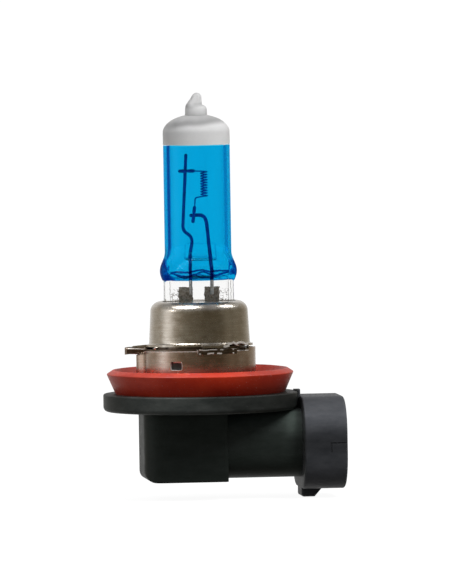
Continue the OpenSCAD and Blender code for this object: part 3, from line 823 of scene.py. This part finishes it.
def filter_coat():
    """The blue coat. Its faces that look back at the glass have the second material."""
    top = blue_high.z - 0.12
    outer, inner = (outer_rings(blue_low.z, top, grow) for grow in (blue_t, 0.015))
    mesh = make_mesh("blue_coat", loft(outer + inner[::-1], closed=True))
    for face in mesh.polygons:
        x, y, _ = face.center
        if face.normal.x * x + face.normal.y * y < 0:
            face.material_index = 1
    piece("blue_coat", mesh, [BLUE, BLUE_BACK], ["blue_coating"])


def grey_cap():
    """The grey coat: two skins, joined at their lower edge."""
    outer, inner = (outer_rings(cap_low.z, dome_z, grow, True) for grow in (cap_t, 0.012))
    verts, faces = loft(outer + inner[::-1], caps=False)
    n = 2 * HALF_POINTS
    last = (len(outer) + len(inner) - 1) * n
    faces += [(k, (k + 1) % n, last + (k + 1) % n, last + k) for k in range(n)]
    # the two skins' tips are closed by a face each, not joined
    top = (len(outer) - 1) * n
    faces = [f for f in faces if not set(f) <= set(range(top, top + 2 * n))]
    faces.append(tuple(range(top, top + n)))
    faces.append(tuple(range(top + n, top + 2 * n))[::-1])
    piece("cap_coat", (verts, faces), [CAP], ["cap_coating"])


burner_glass()
filter_coat()
grey_cap()


# ---- supports, filament and foils ----

LONG_ROUTE = [
    (-1.37, 9.9), (-1.37, 11.8), (-1.37, 13.7), (-1.29, 15.5), (-1.13, 17.2), (-1.02, 18.3),
    (-1, 18.8), (-1.1, 19.2), (-1.36, 19.6), (-1.65, 19.86), (-1.95, 20.1), (-2.2, 20.35),
    (-2.38, 20.7), (-2.47, 21.2), (-2.435, 21.8), (-2.365, 23), (-2.22, 25.4), (-2.04, 28.5),
    (-1.78, 33),
]
SHORT_ROUTE = [
    (2.19, 9.9), (2.19, 12), (2.16, 13.9), (1.97, 15.6), (1.87, 17.2), (1.77, 18.8), (1.66, 20.2),
    (1.55, 21.3), (1.44, 21.95), (1.27, 22.42), (1, 22.76), (0.6, 22.96), (0.1, 23), (-1.06, 22.97),
]
UPPER_BAR_Y = -0.555
LOWER_BAR_Y = -0.58


def lead(name, route, r, node):
    path = smooth_route([(x, 0, z) for x, z in route])
    piece(name, tube(path, r), [MOLYBDENUM], [node])


def sleeve(name, a, b, depth, node):
    """A bar crimped where it grips the filament's leg and welded to its support."""
    path = [(x, depth, z) for x, z in zip(levels(a[0], b[0], 21), levels(a[1], b[1], 21))]

    def radius(t):
        waist = 0.035 * math.exp(-((t - 0.5) / 0.12) ** 2)
        return 0.28 - waist + 0.012 * math.sin(9 * t)

    piece(name, tube(path, radius, 20), [MOLYBDENUM], [node])


def coil():
    """The helix and its two legs, as one round wire."""
    wire_r = 0.11
    coil_x, coil_r, turns = 1.16, 0.53, 9.5
    low, top = 26 + wire_r, 30.4 - wire_r
    steps = round(turns * 40)
    helix = []
    for i in range(steps + 1):
        a = math.radians(-90 + 360 * turns * i / steps)
        x, y, z = on_circle(a, coil_r, mix(top, low, i / steps))
        helix.append((coil_x + x, y, z))
    y = UPPER_BAR_Y
    top_leg = smooth_route([
        (-0.45, y, top + 0.07), (0.2, y, top + 0.06), (0.75, y + 0.01, top + 0.03), helix[0],
    ], 5)[:-1]
    y = LOWER_BAR_Y
    low_leg = smooth_route([
        helix[-1], (0.8, 0.46, low - 0.06), (0.3, 0.25, low - 0.12), (-0.12, -0.15, low - 0.17),
        (-0.36, -0.45, low - 0.35), (-0.43, y, low - 0.8), (-0.48, y, 24.5),
    ], 6)[1:]
    wire = tube([*top_leg, *helix, *low_leg], wire_r, 10)
    piece("coil", wire, [TUNGSTEN], ["filament"])


def bead():
    """The quartz block that keeps the supports apart, with softened edges."""
    low, high = span("quartz_bridge")
    width, depth = high.x - low.x, high.y - low.y
    rings = []
    for inset, z in ((0.25, low.z), (0.08, low.z + 0.1), (0, low.z + 0.3), (0, high.z - 0.3),
                     (0.08, high.z - 0.1), (0.25, high.z)):
        outline = rounded_rect(width - 2 * inset, depth - 2 * inset, 1.1 - inset, 10)
        rings.append([
            ((low.x + high.x) / 2 + x, y, z + 0.05 * ripple(x, y, z, 1.5)) for x, y in outline
        ])
    piece("bridge_bead", loft(rings), [BEAD_QUARTZ], ["quartz_bridge"], 60)


def foil_strip(name, node, seed):
    """A sealing foil: thin, faintly wrinkled, with ragged sides and a torn top edge."""
    low, high = span(node)
    y = (low.y + high.y) / 2
    centre, half = (low.x + high.x) / 2, (high.x - low.x) / 2 - 0.12
    rows, columns, thick = 70, 20, 0.035

    def ragged(z, fine_seed, wide_seed):
        return 0.13 * ripple(fine_seed, 0, z, 0.3) + 0.1 * ripple(seed, wide_seed, z, 1.1)

    front, back = [], []
    for i in range(rows + 1):
        z = mix(low.z, high.z - 0.02, i / rows)
        left, right = ragged(z, seed, 3) - half, ragged(z, seed + 9, 8) + half
        for k in range(columns + 1):
            x = centre + mix(left, right, k / columns)
            torn = abs(0.12 * ripple(x, seed, 0, 0.4) * (i / rows) ** 12)
            wave = 0.05 * ripple(x, seed, z, 0.6)
            front.append((x, y + wave - thick, z - torn))
            back.append((x, y + wave + thick, z - torn))
    n, w = len(front), columns + 1
    faces = []
    for a in (i * w + k for i in range(rows) for k in range(columns)):
        faces += [(a, a + 1, a + w + 1, a + w), (n + a, n + a + w, n + a + w + 1, n + a + 1)]
    rim = [*range(w), *(i * w + columns for i in range(1, rows + 1))]
    rim += [rows * w + k for k in range(columns - 1, -1, -1)]
    rim += [i * w for i in range(rows - 1, 0, -1)]
    faces += [(a, n + a, n + b, b) for a, b in zip(rim, rim[1:] + rim[:1])]
    piece(name, (front + back, faces), [FOIL], [node])


lead("long_lead", LONG_ROUTE, 0.275, "long_support_wire")
lead("short_lead", SHORT_ROUTE, 0.3, "short_support_wire")
sleeve("upper_sleeve", (-2.87, 30.4), (-0.63, 30.4), UPPER_BAR_Y, "upper_crossbar")
sleeve("lower_sleeve", (-0.81, 21.98), (-0.54, 24.27), LOWER_BAR_Y, "lower_crossbar")
coil()
bead()
foil_strip("left_foil_strip", "left_foil", 1.7)
foil_strip("right_foil_strip", "right_foil", 5.2)


# ---- metal base ----

def angle_off(degrees, centre):
    """Signed distance between two angles, in degrees."""
    return (degrees - centre + 180) % 360 - 180


def tab(degrees, width, ramp=1.3):
    """1 inside any of the three tabs, 0 outside, with rounded corners."""
    inside = max((width / 2 - abs(angle_off(degrees, a))) / ramp for a in lug_angles)
    return math.sqrt(min(1, max(0, inside)))


def near_rise(y, share=1.0):
    """The stamped sheet isn't quite level: its near side sits a little high."""
    tilt = 0.03
    return -tilt * y * share


def crumple(degrees):
    """Share of the lifted, creased stretch of the can's brim."""
    half_span = 27
    return ease(1 - abs(angle_off(degrees, crease_at)) / half_span)


def bearing(face):
    """Angle of a face about the axis in degrees, and its distance from the axis."""
    x, y, _ = face.center
    return math.degrees(math.atan2(y, x)), math.hypot(x, y)


def can():
    """The can: a slot for the pinch, a round shoulder, a wall and a brim with three ears."""
    shoulder = (can_top_r - can_shoulder, can_top_z - can_shoulder)
    bend = 0.35
    flare = (can_r + bend, brim_z + can_t + bend)
    down_wall = [
        (mix(can_top_r, can_r, t), mix(shoulder[1], flare[1], t)) for t in (0.25, 0.5, 0.75)
    ]
    outer = arc(shoulder, can_shoulder, 90, 0, 10) + down_wall + arc(flare, bend, 180, 270, 5)
    inner = arc(flare, bend + can_t, 270, 180, 5)
    inner += [(r - can_t, z) for r, z in down_wall[::-1]]
    inner += arc(shoulder, can_shoulder - can_t, 0, 90, 8)
    reach = (0.0, 0.15, 0.35, 0.6, 0.85, 1.0)
    slot_x, slot_y = 6.05, 1.95
    brim_in_r, brim_r = 8.76, 8.9

    def top_point(a, share, z):
        across, up = max(abs(math.cos(a)), 1e-6), max(abs(math.sin(a)), 1e-6)
        return on_circle(a, mix(min(slot_x / across, slot_y / up), shoulder[0], share), z)

    def wall_point(a, r, z):
        x, y, z = on_circle(a, r, z)
        return x, y, z + near_rise(y, 1 - ease((z - brim_z) / 3))

    def brim_point(a, share, z):
        bent, ear = crumple(math.degrees(a)), tab(math.degrees(a), ear_span)
        far = brim_r + (ear_r - brim_r) * ear + 0.4 * bent
        far += 0.05 * ripple(math.cos(a), math.sin(a), 0, 0.12, 2)
        x, y, z = on_circle(a, mix(brim_in_r, far, share), z)
        lift = share * bent * (0.42 + 0.45 * ripple(x, y, 0, 0.9, 4))
        return x, y, z + near_rise(y) - 0.2 * share * ear + lift

    rings = turned(top_point, [(0, can_top_z), (0.5, can_top_z)])
    rings += turned(wall_point, outer)
    rings += turned(brim_point, [(share, brim_z + can_t) for share in reach])
    rings += turned(brim_point, [(share, brim_z) for share in reach[::-1]])
    rings += turned(wall_point, inner)
    rings += turned(top_point, [(0.5, can_top_z - can_t), (0, can_top_z - can_t)])
    mesh = make_mesh("can", loft(rings, closed=True))
    for face in mesh.polygons:
        degrees, r = bearing(face)
        if crumple(degrees) > 0.1 and abs(face.normal.z) < 0.75 and r > 8.85:
            face.material_index = 1
    piece("can", mesh, [CAN_STEEL, CUT_STEEL], ["upper_shell"])


def lug_plate():
    """The deck, its collar inside the can and its three lugs, the left one folded, with sheared
    edges.
    """
    collar_t, notch_r, fold_t = 0.35, 8.4, 0.33
    inner_r, outer_r = deck_in_r, deck_in_r + collar_t

    def far(degrees):
        edge = ring_r + (lug_r - ring_r) * tab(degrees, lug_span)
        if abs(angle_off(degrees, socket_side)) < 34:
            edge = spigot_r
        if abs(angle_off(degrees, notch_at)) < 4.5:
            edge = notch_r
        return edge + 0.05 * ripple(degrees, 0, 0, 2.0, 1)

    def folded(degrees, r):
        """The left lug's sheet is folded back on itself, up to the ear above it."""
        inside = lug_span / 2 - abs(angle_off(degrees, left_lug))
        return fold_t * ease(inside / 2) * ease((r - notch_r) / 0.3)

    def collar_point(a, r, z):
        x, y, z = on_circle(a, r, z)
        return x, y, z + near_rise(y)

    def plate_point(a, share, top):
        degrees = math.degrees(a)
        r = mix(outer_r, far(degrees), share)
        x, y, _ = on_circle(a, r, 0)
        drop = ease((r - ring_r) / 0.35)
        z = deck_top_z + folded(degrees, r) if top else mix(deck_low_z, 0.0, drop)
        rough = 0.13 * ease((r - 9.4) / 1.5) * ripple(x, y, 0, 0.7, 5)
        return x, y, z + near_rise(y) + rough

    def rim_point(a, share):
        """On the sheared edge, between the two faces of the sheet."""
        ends = zip(plate_point(a, 1, False), plate_point(a, 1, True))
        return tuple(mix(low, high, share) for low, high in ends)

    shares = levels(0, 1, 21)
    rings = turned(collar_point, [
        (inner_r, deck_low_z), (inner_r, lug_collar_top_z), (outer_r, lug_collar_top_z),
        (outer_r, mix(lug_collar_top_z, deck_top_z, 0.5)),
    ])
    rings += turned(plate_point, [(share, True) for share in shares])
    rings += turned(rim_point, [(0.82,), (0.3,)])
    rings += turned(plate_point, [(share, False) for share in shares[::-1]])
    mesh = make_mesh("lug_plate", loft(rings, closed=True))
    # fresh metal on the sheared edge: its lower part on the deck, flecks of it on the lugs
    for face in mesh.polygons:
        degrees, r = bearing(face)
        if abs(face.normal.z) > 0.6 or r < 8.3:
            continue
        x, y, z = face.center
        lugged = tab(degrees, lug_span) > 0
        foot = 0 if lugged else deck_low_z
        up = (z - near_rise(y) - foot) / (deck_top_z - foot)
        if lugged:
            fresh = not 0.35 < up < 0.75 and ripple(x, y, round(up), 0.8, 11) > 0.05
        else:
            fresh = up < 0.4
        if fresh:
            face.material_index = 1
    piece("lug_plate", mesh, [LUG_STEEL, CUT_STEEL], ["lug_ring"])


def boss(degrees, z):
    """How far the ring's wall bulges out under the left lug."""
    height, half_span = 1.3, 27
    share = ease((half_span - abs(angle_off(degrees, left_lug))) / 12)
    return height * share * ease((z + 4.9) / 0.6) * ease((0.3 - z) / 0.35)


def ring_wall():
    """The base ring, with its bulge, raised rim, windows and lanced tangs."""
    def wall_point(a, share, inset):
        degrees = math.degrees(a)
        raised = ease((35 - abs(angle_off(degrees, socket_side))) / 1.5)
        z = mix(ring_low.z, mix(deck_low_z, ring_high.z, raised), share)
        x, y, z = on_circle(a, ring_r - inset + boss(degrees, z), z)
        return x, y, z + near_rise(y, ease((z + 3) / 3))

    shares = levels(0, 1, 26)
    rings = turned(wall_point, [
        *((share, 0) for share in shares), (1, 0.1), (1, ring_t - 0.1),
        *((share, ring_t) for share in shares[::-1]),
    ])
    window = block((8.3, -1.05, -2.4), (10.3, 1.05, -1.0), 0.22)
    lean = Matrix.Translation((8.95, 0, -0.85)) @ Matrix.Rotation(math.radians(25), 4, "Y")
    tang = moved(block((-0.4, -0.7, -1.2), (0, 0.7, 0.1), 0.12), lean)
    # the burr along a window's lower edge and its right side
    burr = tube([(math.sqrt(ring_r ** 2 - y ** 2) + 0.01, y, z) for y, z in (
        (-0.95, -2.38), (-0.5, -2.42), (0, -2.43), (0.5, -2.42), (0.95, -2.38),
        (1.06, -2.2), (1.08, -1.8), (1.07, -1.4), (1.0, -1.1),
    )], 0.055, 8)
    turns = [Matrix.Rotation(math.radians(-121 + 120 * i), 4, "Z") for i in range(3)]
    windows = [moved(window, turn) for turn in turns]
    mesh = cut_and_join("ring_wall", loft(rings, closed=True), cuts=windows)
    plain = len(mesh.polygons)
    details = [make_mesh("tang", moved(shape, turn)) for turn in turns for shape in (tang, burr)]
    mesh = with_meshes(mesh, details)
    for i, face in enumerate(mesh.polygons):
        depth = ring_r - bearing(face)[1]
        in_window = 0.03 < depth < ring_t - 0.03 and -2.45 < face.center.z < -0.95
        if in_window or i >= plain:
            face.material_index = 1
    piece("ring_wall", mesh, [RING_STEEL, CUT_STEEL], ["base_ring"])


def welds():
    """Weld nuggets between the sheets, each a little uneven."""
    nugget_r = 0.38
    spots = [(8.95, -30 + 60 * i, 1.0) for i in range(6)] + [(10.2, a, 0.8) for a in lug_angles]
    work = bmesh.new()
    for i, (r, degrees, z) in enumerate(spots):
        x, y, z = on_circle(math.radians(degrees), r, z)
        made = bmesh.ops.create_icosphere(work, subdivisions=3, radius=nugget_r)
        for v in made["verts"]:
            v.co *= 1 + 0.2 * ripple(*v.co, 0.25, i)
            v.co.z *= 0.75
            v.co += Vector((x, y, z + near_rise(y)))
    mesh = bpy.data.meshes.new("weld_nuggets")
    work.to_mesh(mesh)
    work.free()
    piece("weld_nuggets", mesh, [WELD_STEEL], ["shell_welds"])


can()
lug_plate()
ring_wall()
welds()


# ---- seal ----

def seal():
    """The lip seal: a cone up to a sharp edge, a sloping lip and a groove inside it."""
    edge_r = seal_high.y
    foot_r = ring_r + 0.05
    corners = [(foot_r, flange_top_z), (14.1, flange_top_z), (14.2, flange_top_z + 0.12)]
    corners += arc((edge_r - 0.18, seal_edge_z), 0.18, -30, 55, 5)
    corners += arc((14.5, seal_edge_z + 0.48), 0.25, 65, 135, 5)
    corners += arc((11.9, -4.4), 0.6, -35, -90, 6)
    corners.append((foot_r, -5.0))
    profile = []
    for a, b in zip(corners, corners[1:] + corners[:1]):
        parts = max(1, round(math.dist(a, b) / 0.5))
        profile += [(mix(a[0], b[0], i / parts), mix(a[1], b[1], i / parts)) for i in range(parts)]

    def point(a, r, z):
        """Stretched over the ring, the lip waves a little."""
        wave = 0.05 * ripple(math.cos(a), math.sin(a), 0, 0.5, 6) * ease((r - 12) / 3)
        return on_circle(a, r, z + (wave if z > flange_top_z + 0.3 else 0))

    rubber = revolve(profile, True, point)
    piece("silicone_seal", rubber, [SILICONE], ["seal_ring"], 38)


seal()


# ---- plug socket ----

def bar(from_x, to_x, section, r, edges=(0.0, 0.0), steps=5):
    """A rounded bar along X about the socket's axis. Its end edges may be rounded too."""
    outline = rounded_rect(section[0], section[1], r, 12)
    stations = []
    for end, edge, sign in ((from_x, edges[0], 1), (to_x, edges[1], -1)):
        for i in range(steps + 1 if edge else 1):
            a = math.radians(90 * i / steps)
            stations.append((end + sign * edge * (1 - math.sin(a)), edge * (1 - math.cos(a))))
    rings = []
    for x, inset in sorted(stations):
        across, up = 1 - 2 * inset / section[0], 1 - 2 * inset / section[1]
        rings.append([(x, a * across, axis_z + b * up) for a, b in outline])
    return loft(rings)


def box_outline(inset):
    """The box seen from above: round at the left, nearly sharp towards the socket."""
    left_r, right_r = box_r - min(inset, box_r - 0.5), box_edge_r
    left, right = box_x[0] + inset + left_r, box_x[1] - inset - right_r
    half = box_y / 2 - inset
    return [
        *arc((right, half - right_r), right_r, 0, 90, 4),
        *arc((left, half - left_r), left_r, 90, 180, 12),
        *arc((left, left_r - half), left_r, 180, 270, 12),
        *arc((right, right_r - half), right_r, 270, 360, 4),
    ]


def box_room(inset, low, high):
    """The hollow of the box between two heights."""
    return loft([[(x, y, z) for x, y in box_outline(inset)] for z in (low, high)])


def box_body():
    """The box, whose lower left corner is round when seen from the side."""
    foot, broken = 1.8, 0.22
    outline = box_outline(0)
    rings = []
    for i in range(11):
        up = foot * (1 - math.cos(math.radians(90 * i / 10)))
        left = box_x[0] + foot - math.sqrt(foot ** 2 - (foot - up) ** 2)
        edge = broken * (1 - min(1, up / broken)) ** 2
        rings.append([
            (max(x, left), y - math.copysign(edge, y), box_low_z + up) for x, y in outline
        ])
    rings.append([(x, y, flange_low_z + 0.6) for x, y in outline])
    return loft(rings)


def prism(outline, half_y, edge=0.2):
    """An outline in X and Z drawn out across Y, its two faces' edges broken."""
    middle = Vector([sum(values) / len(outline) for values in zip(*outline)])
    rings = []
    for y, inset in ((-half_y, edge), (-half_y + edge, 0), (half_y - edge, 0), (half_y, edge)):
        ring = []
        for corner in outline:
            away = Vector(corner) - middle
            x, z = middle + away - away.normalized() * inset
            ring.append((x, y, z))
        rings.append(ring)
    return loft(rings)


def plug_housing():
    """Flange, spigot, box, neck and collar in one, with the latch and the rooms inside."""
    rim, edge, near_axis = 0.25, 0.8, 0.01
    flange = [(near_axis, flange_low_z), (flange_r - edge - 2, flange_low_z)]
    flange += arc((flange_r - edge, flange_low_z + edge), edge, -90, 0, 8)
    flange += arc((flange_r - rim, flange_top_z - rim), rim, 0, 90, 5)
    flange += [(flange_r - 2, flange_top_z), (near_axis, flange_top_z)]
    spigot = [
        (near_axis, flange_top_z - 1.2), (spigot_r, flange_top_z - 1.2), (spigot_r, -0.3),
        (spigot_r - 0.15, -0.15), (near_axis, -0.15),
    ]
    latch = [(16.4, -21.8), (16.4, -23.8)] + arc((16.8, -23.8), 0.4, 180, 270, 4)
    latch += arc((18.45, -23.9), 0.3, 270, 320, 3) + [(19.9, -22.7), (19.9, -21.8)]
    adds = [
        revolve(spigot),
        box_body(),
        bar(box_x[1] - 3, collar_x + 1, neck, neck_corner),
        bar(collar_x, mouth_x, collar, collar_corner, (0.35, 0.45)),
        prism(latch, 3),
        block((15.7, -1.3, -10.4), (16.6, 1.3, flange_top_z + 0.25), 0.3),
    ]
    wall = collar_wall
    hollow = (collar[0] - 2 * wall, collar[1] - 2 * wall)
    room = rounded_rect(10.9, 12, 2.4, 6)
    front_y = -collar[0] / 2
    cuts = [
        bar(collar_x + wall, mouth_x + 1, hollow, collar_corner - wall),
        bar(11.5, mouth_x + 1, (11.2, 9.2), 1.2),
        loft([[(x - 2.4, y, z) for x, y in room] for z in (box_low_z + 2, 2)]),
        # the plain keying mark on the collar
        block((20.6, front_y - 1, -15.1), (mouth_x + 1, front_y + 0.12, -14.85), 0.05),
        block((20.6, front_y - 1, -16.5), (20.85, front_y + 0.12, -14.85), 0.05),
        box_room(1.5, box_low_z - 1, flange_low_z - 1),
        box_room(0.8, box_low_z - 1, box_low_z + 1),
    ]
    mesh = cut_and_join("plug_housing", revolve(flange), adds, cuts)
    obj = piece("plug_housing", mesh, [PLASTIC], ["socket_housing"], 28)
    obj.modifiers.new("even_normals", "WEIGHTED_NORMAL").keep_sharp = True


plug_housing()


# ---- pieces that keep their CAD shape ----

for node, material in (
    ("left_outer_pin", MOLYBDENUM), ("right_outer_pin", MOLYBDENUM), ("pinch_clamp", CAN_STEEL),
    ("left_terminal", BRASS), ("right_terminal", BRASS), ("rear_cover", PLASTIC),
):
    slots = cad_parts[node].data.materials
    for i in range(len(slots)):
        slots[i] = material


# ---- stage ----

def pale_floor():
    """A floor that glows, so that it stays white and its shadow faint."""
    m = Look("pale_floor")
    tone = m.blend(m.grain(60, detail=2.0), (0.18, 0.18, 0.18), (0.2, 0.2, 0.2))
    both = m.add("AddShader")
    diffuse = m.add("BsdfDiffuse", Color=tone)
    glow = m.add("Emission", Color=(1, 1, 1), Strength=0.94)
    for shader, socket in ((diffuse, 0), (glow, 1)):
        m.tree.links.new(shader.outputs[0], both.inputs[socket])
    mesh = bpy.data.meshes.new("floor")
    radius, steps = 0.26, 96
    outline = turned(on_circle, [(radius, housing_low.z * MM - 0.0001)], steps)[0]
    mesh.from_pydata(outline, [], [tuple(range(steps))])
    mesh.materials.append(m.finish(both))
    obj = bpy.data.objects.new("floor", mesh)
    scene.collection.objects.link(obj)
    obj.visible_glossy = False
    obj.visible_diffuse = False


# brightness of the studio by direction: degrees from the front, to the right positive
GLOSS_LEVELS = [
    (-180, 0.9), (-158, 0.8), (-134, 0.45), (-112, 0.38), (-101, 0.55), (-92, 1.2), (-80, 1.15),
    (-71, 0.55), (-63, 0.3), (-52, 0.22), (-44, 0.16), (-22, 0.13), (-8, 0.1), (0, 0.085),
    (34, 0.085), (49, 0.1), (60, 0.18), (68, 0.2), (76, 0.14), (88, 0.2), (98, 0.2),
    (114, 0.2), (128, 0.32), (147, 0.5), (158, 0.8), (180, 0.9),
]
# what the glass bends towards the eye: bright behind and darker at the sides
GLASS_LEVELS = [
    (-180, (1, 1, 1)), (-158, (1, 1, 1)), (-145, (0.5, 0.52, 0.75)), (-128, (0.45, 0.47, 0.65)),
    (-112, (0.7, 0.7, 0.7)), (0, (0.7, 0.7, 0.7)), (112, (0.7, 0.7, 0.7)),
    (128, (0.85, 0.85, 0.85)), (145, (0.9, 0.9, 0.9)), (158, (1, 1, 1)), (180, (1, 1, 1)),
]


def warmed(level):
    """The darker stretches of the room are brown."""
    dark = max(0, 1 - level) ** 2
    return level * (1 + 0.22 * dark), level, level * (1 - 0.4 * dark)


def studio_world():
    """White to the camera; softer and uneven where it is mirrored, refracted or lights."""
    m = Look("studio", "worlds")
    scene.world = m.owner
    m.owner.cycles.sampling_method = "NONE"
    direction = m.add("SeparateXYZ", Vector=m.add("TexCoord").outputs["Generated"])
    x, y, z = direction.outputs
    turn = m.ramp(m.calc("ARCTAN2", x, m.times(y, -1.0)), -math.pi, math.pi)

    def by_turn(stops):
        return m.colours(turn, [((degrees + 180) / 360, colour) for degrees, colour in stops])

    mirrored = by_turn([(degrees, warmed(level)) for degrees, level in GLOSS_LEVELS])
    mirrored = m.blend(m.ramp(z, 0.35, 0.75), mirrored, (0.22, 0.22, 0.22))
    bent = m.blend(m.ramp(m.size(z), 0.3, 0.6), by_turn(GLASS_LEVELS), (0.2, 0.2, 0.2))
    below, level = m.ramp(x, -1, 1, 0.1, 0.04), m.ramp(x, -0.8, 0.8, 0.22, 0.4)
    lit = m.blend(m.ramp(z, -0.05, 0.1), below, level)
    lit = m.blend(m.ramp(z, 0.45, 0.8), lit, (0.75, 0.75, 0.76))
    path = m.add("LightPath").outputs
    seen = m.blend(path["Is Glossy Ray"], lit, mirrored)
    seen = m.blend(path["Is Transmission Ray"], seen, bent)
    seen = m.blend(path["Is Camera Ray"], seen, (1.04, 1.04, 1.04))
    m.finish(m.add("Background", Color=seen, Strength=1.0), "OutputWorld")


def aimed(name, data, azimuth, elevation, distance, target, roll=0.0):
    """A lamp or camera aimed at a target. Azimuth 0 is in front of it and 90 to its right."""
    a, e = math.radians(azimuth), math.radians(elevation)
    away = Vector((math.sin(a) * math.cos(e), -math.cos(a) * math.cos(e), math.sin(e)))
    obj = bpy.data.objects.new(name, data)
    obj.location = Vector(target) + away * distance
    obj.rotation_mode = "QUATERNION"
    turn = Matrix.Rotation(math.radians(roll), 3, "Z").to_quaternion()
    obj.rotation_quaternion = away.to_track_quat("Z", "Y") @ turn
    scene.collection.objects.link(obj)
    return obj


def softbox(name, azimuth, elevation, distance, size, power, mirrored=True):
    """A rectangular lamp that is either only mirrored or only lights."""
    lamp = bpy.data.lights.new(name, "AREA")
    lamp.shape = "RECTANGLE"
    lamp.size, lamp.size_y = size
    lamp.energy = power
    obj = aimed(name, lamp, azimuth, elevation, distance, (0, 0, 0))
    obj.visible_glossy, obj.visible_diffuse = mirrored, not mirrored
    obj.visible_transmission = False
    obj.visible_camera = False


def cap_light(name, azimuth, power):
    """A narrow soft lamp on the cap that only lights; nothing mirrors it."""
    cap_middle = (0, 0, 0.041)
    lamp = bpy.data.lights.new(name, "SPOT")
    lamp.energy = power
    lamp.spot_size = math.radians(5.5)
    lamp.spot_blend = 1.0
    lamp.shadow_soft_size = 0.03
    obj = aimed(name, lamp, azimuth, 4, 0.35, cap_middle)
    obj.visible_glossy = False
    obj.visible_transmission = False


def camera():
    """A long lens, a little to the left of the front and a little above."""
    distance, frame_height = 2.0, 97.33 * MM
    lens = bpy.data.cameras.new("camera")
    lens.sensor_width = 36
    lens.lens = lens.sensor_width * distance / frame_height
    lens.clip_start, lens.clip_end = 0.1, 10
    centre = (4.57 * MM, 0, 10.07 * MM)
    scene.camera = aimed("camera", lens, -6.0, 2.65, distance, centre, -0.92)


pale_floor()
studio_world()
softbox("top_left", -70, 60, 0.4, (0.12, 0.11), 0.8)
softbox("top_middle", -44, 66, 0.4, (0.15, 0.11), 0.75)
softbox("top_right", 96, 50, 0.4, (0.09, 0.1), 0.5)
softbox("side_left", -74, 22, 0.4, (0.06, 0.05), 0.08)
softbox("key", 40, 42, 0.45, (0.16, 0.16), 0.8, mirrored=False)
cap_light("cap_fill", 32, 5.5)
cap_light("cap_left_fill", -76, 4.2)
camera()
scene.view_settings.view_transform = "Standard"
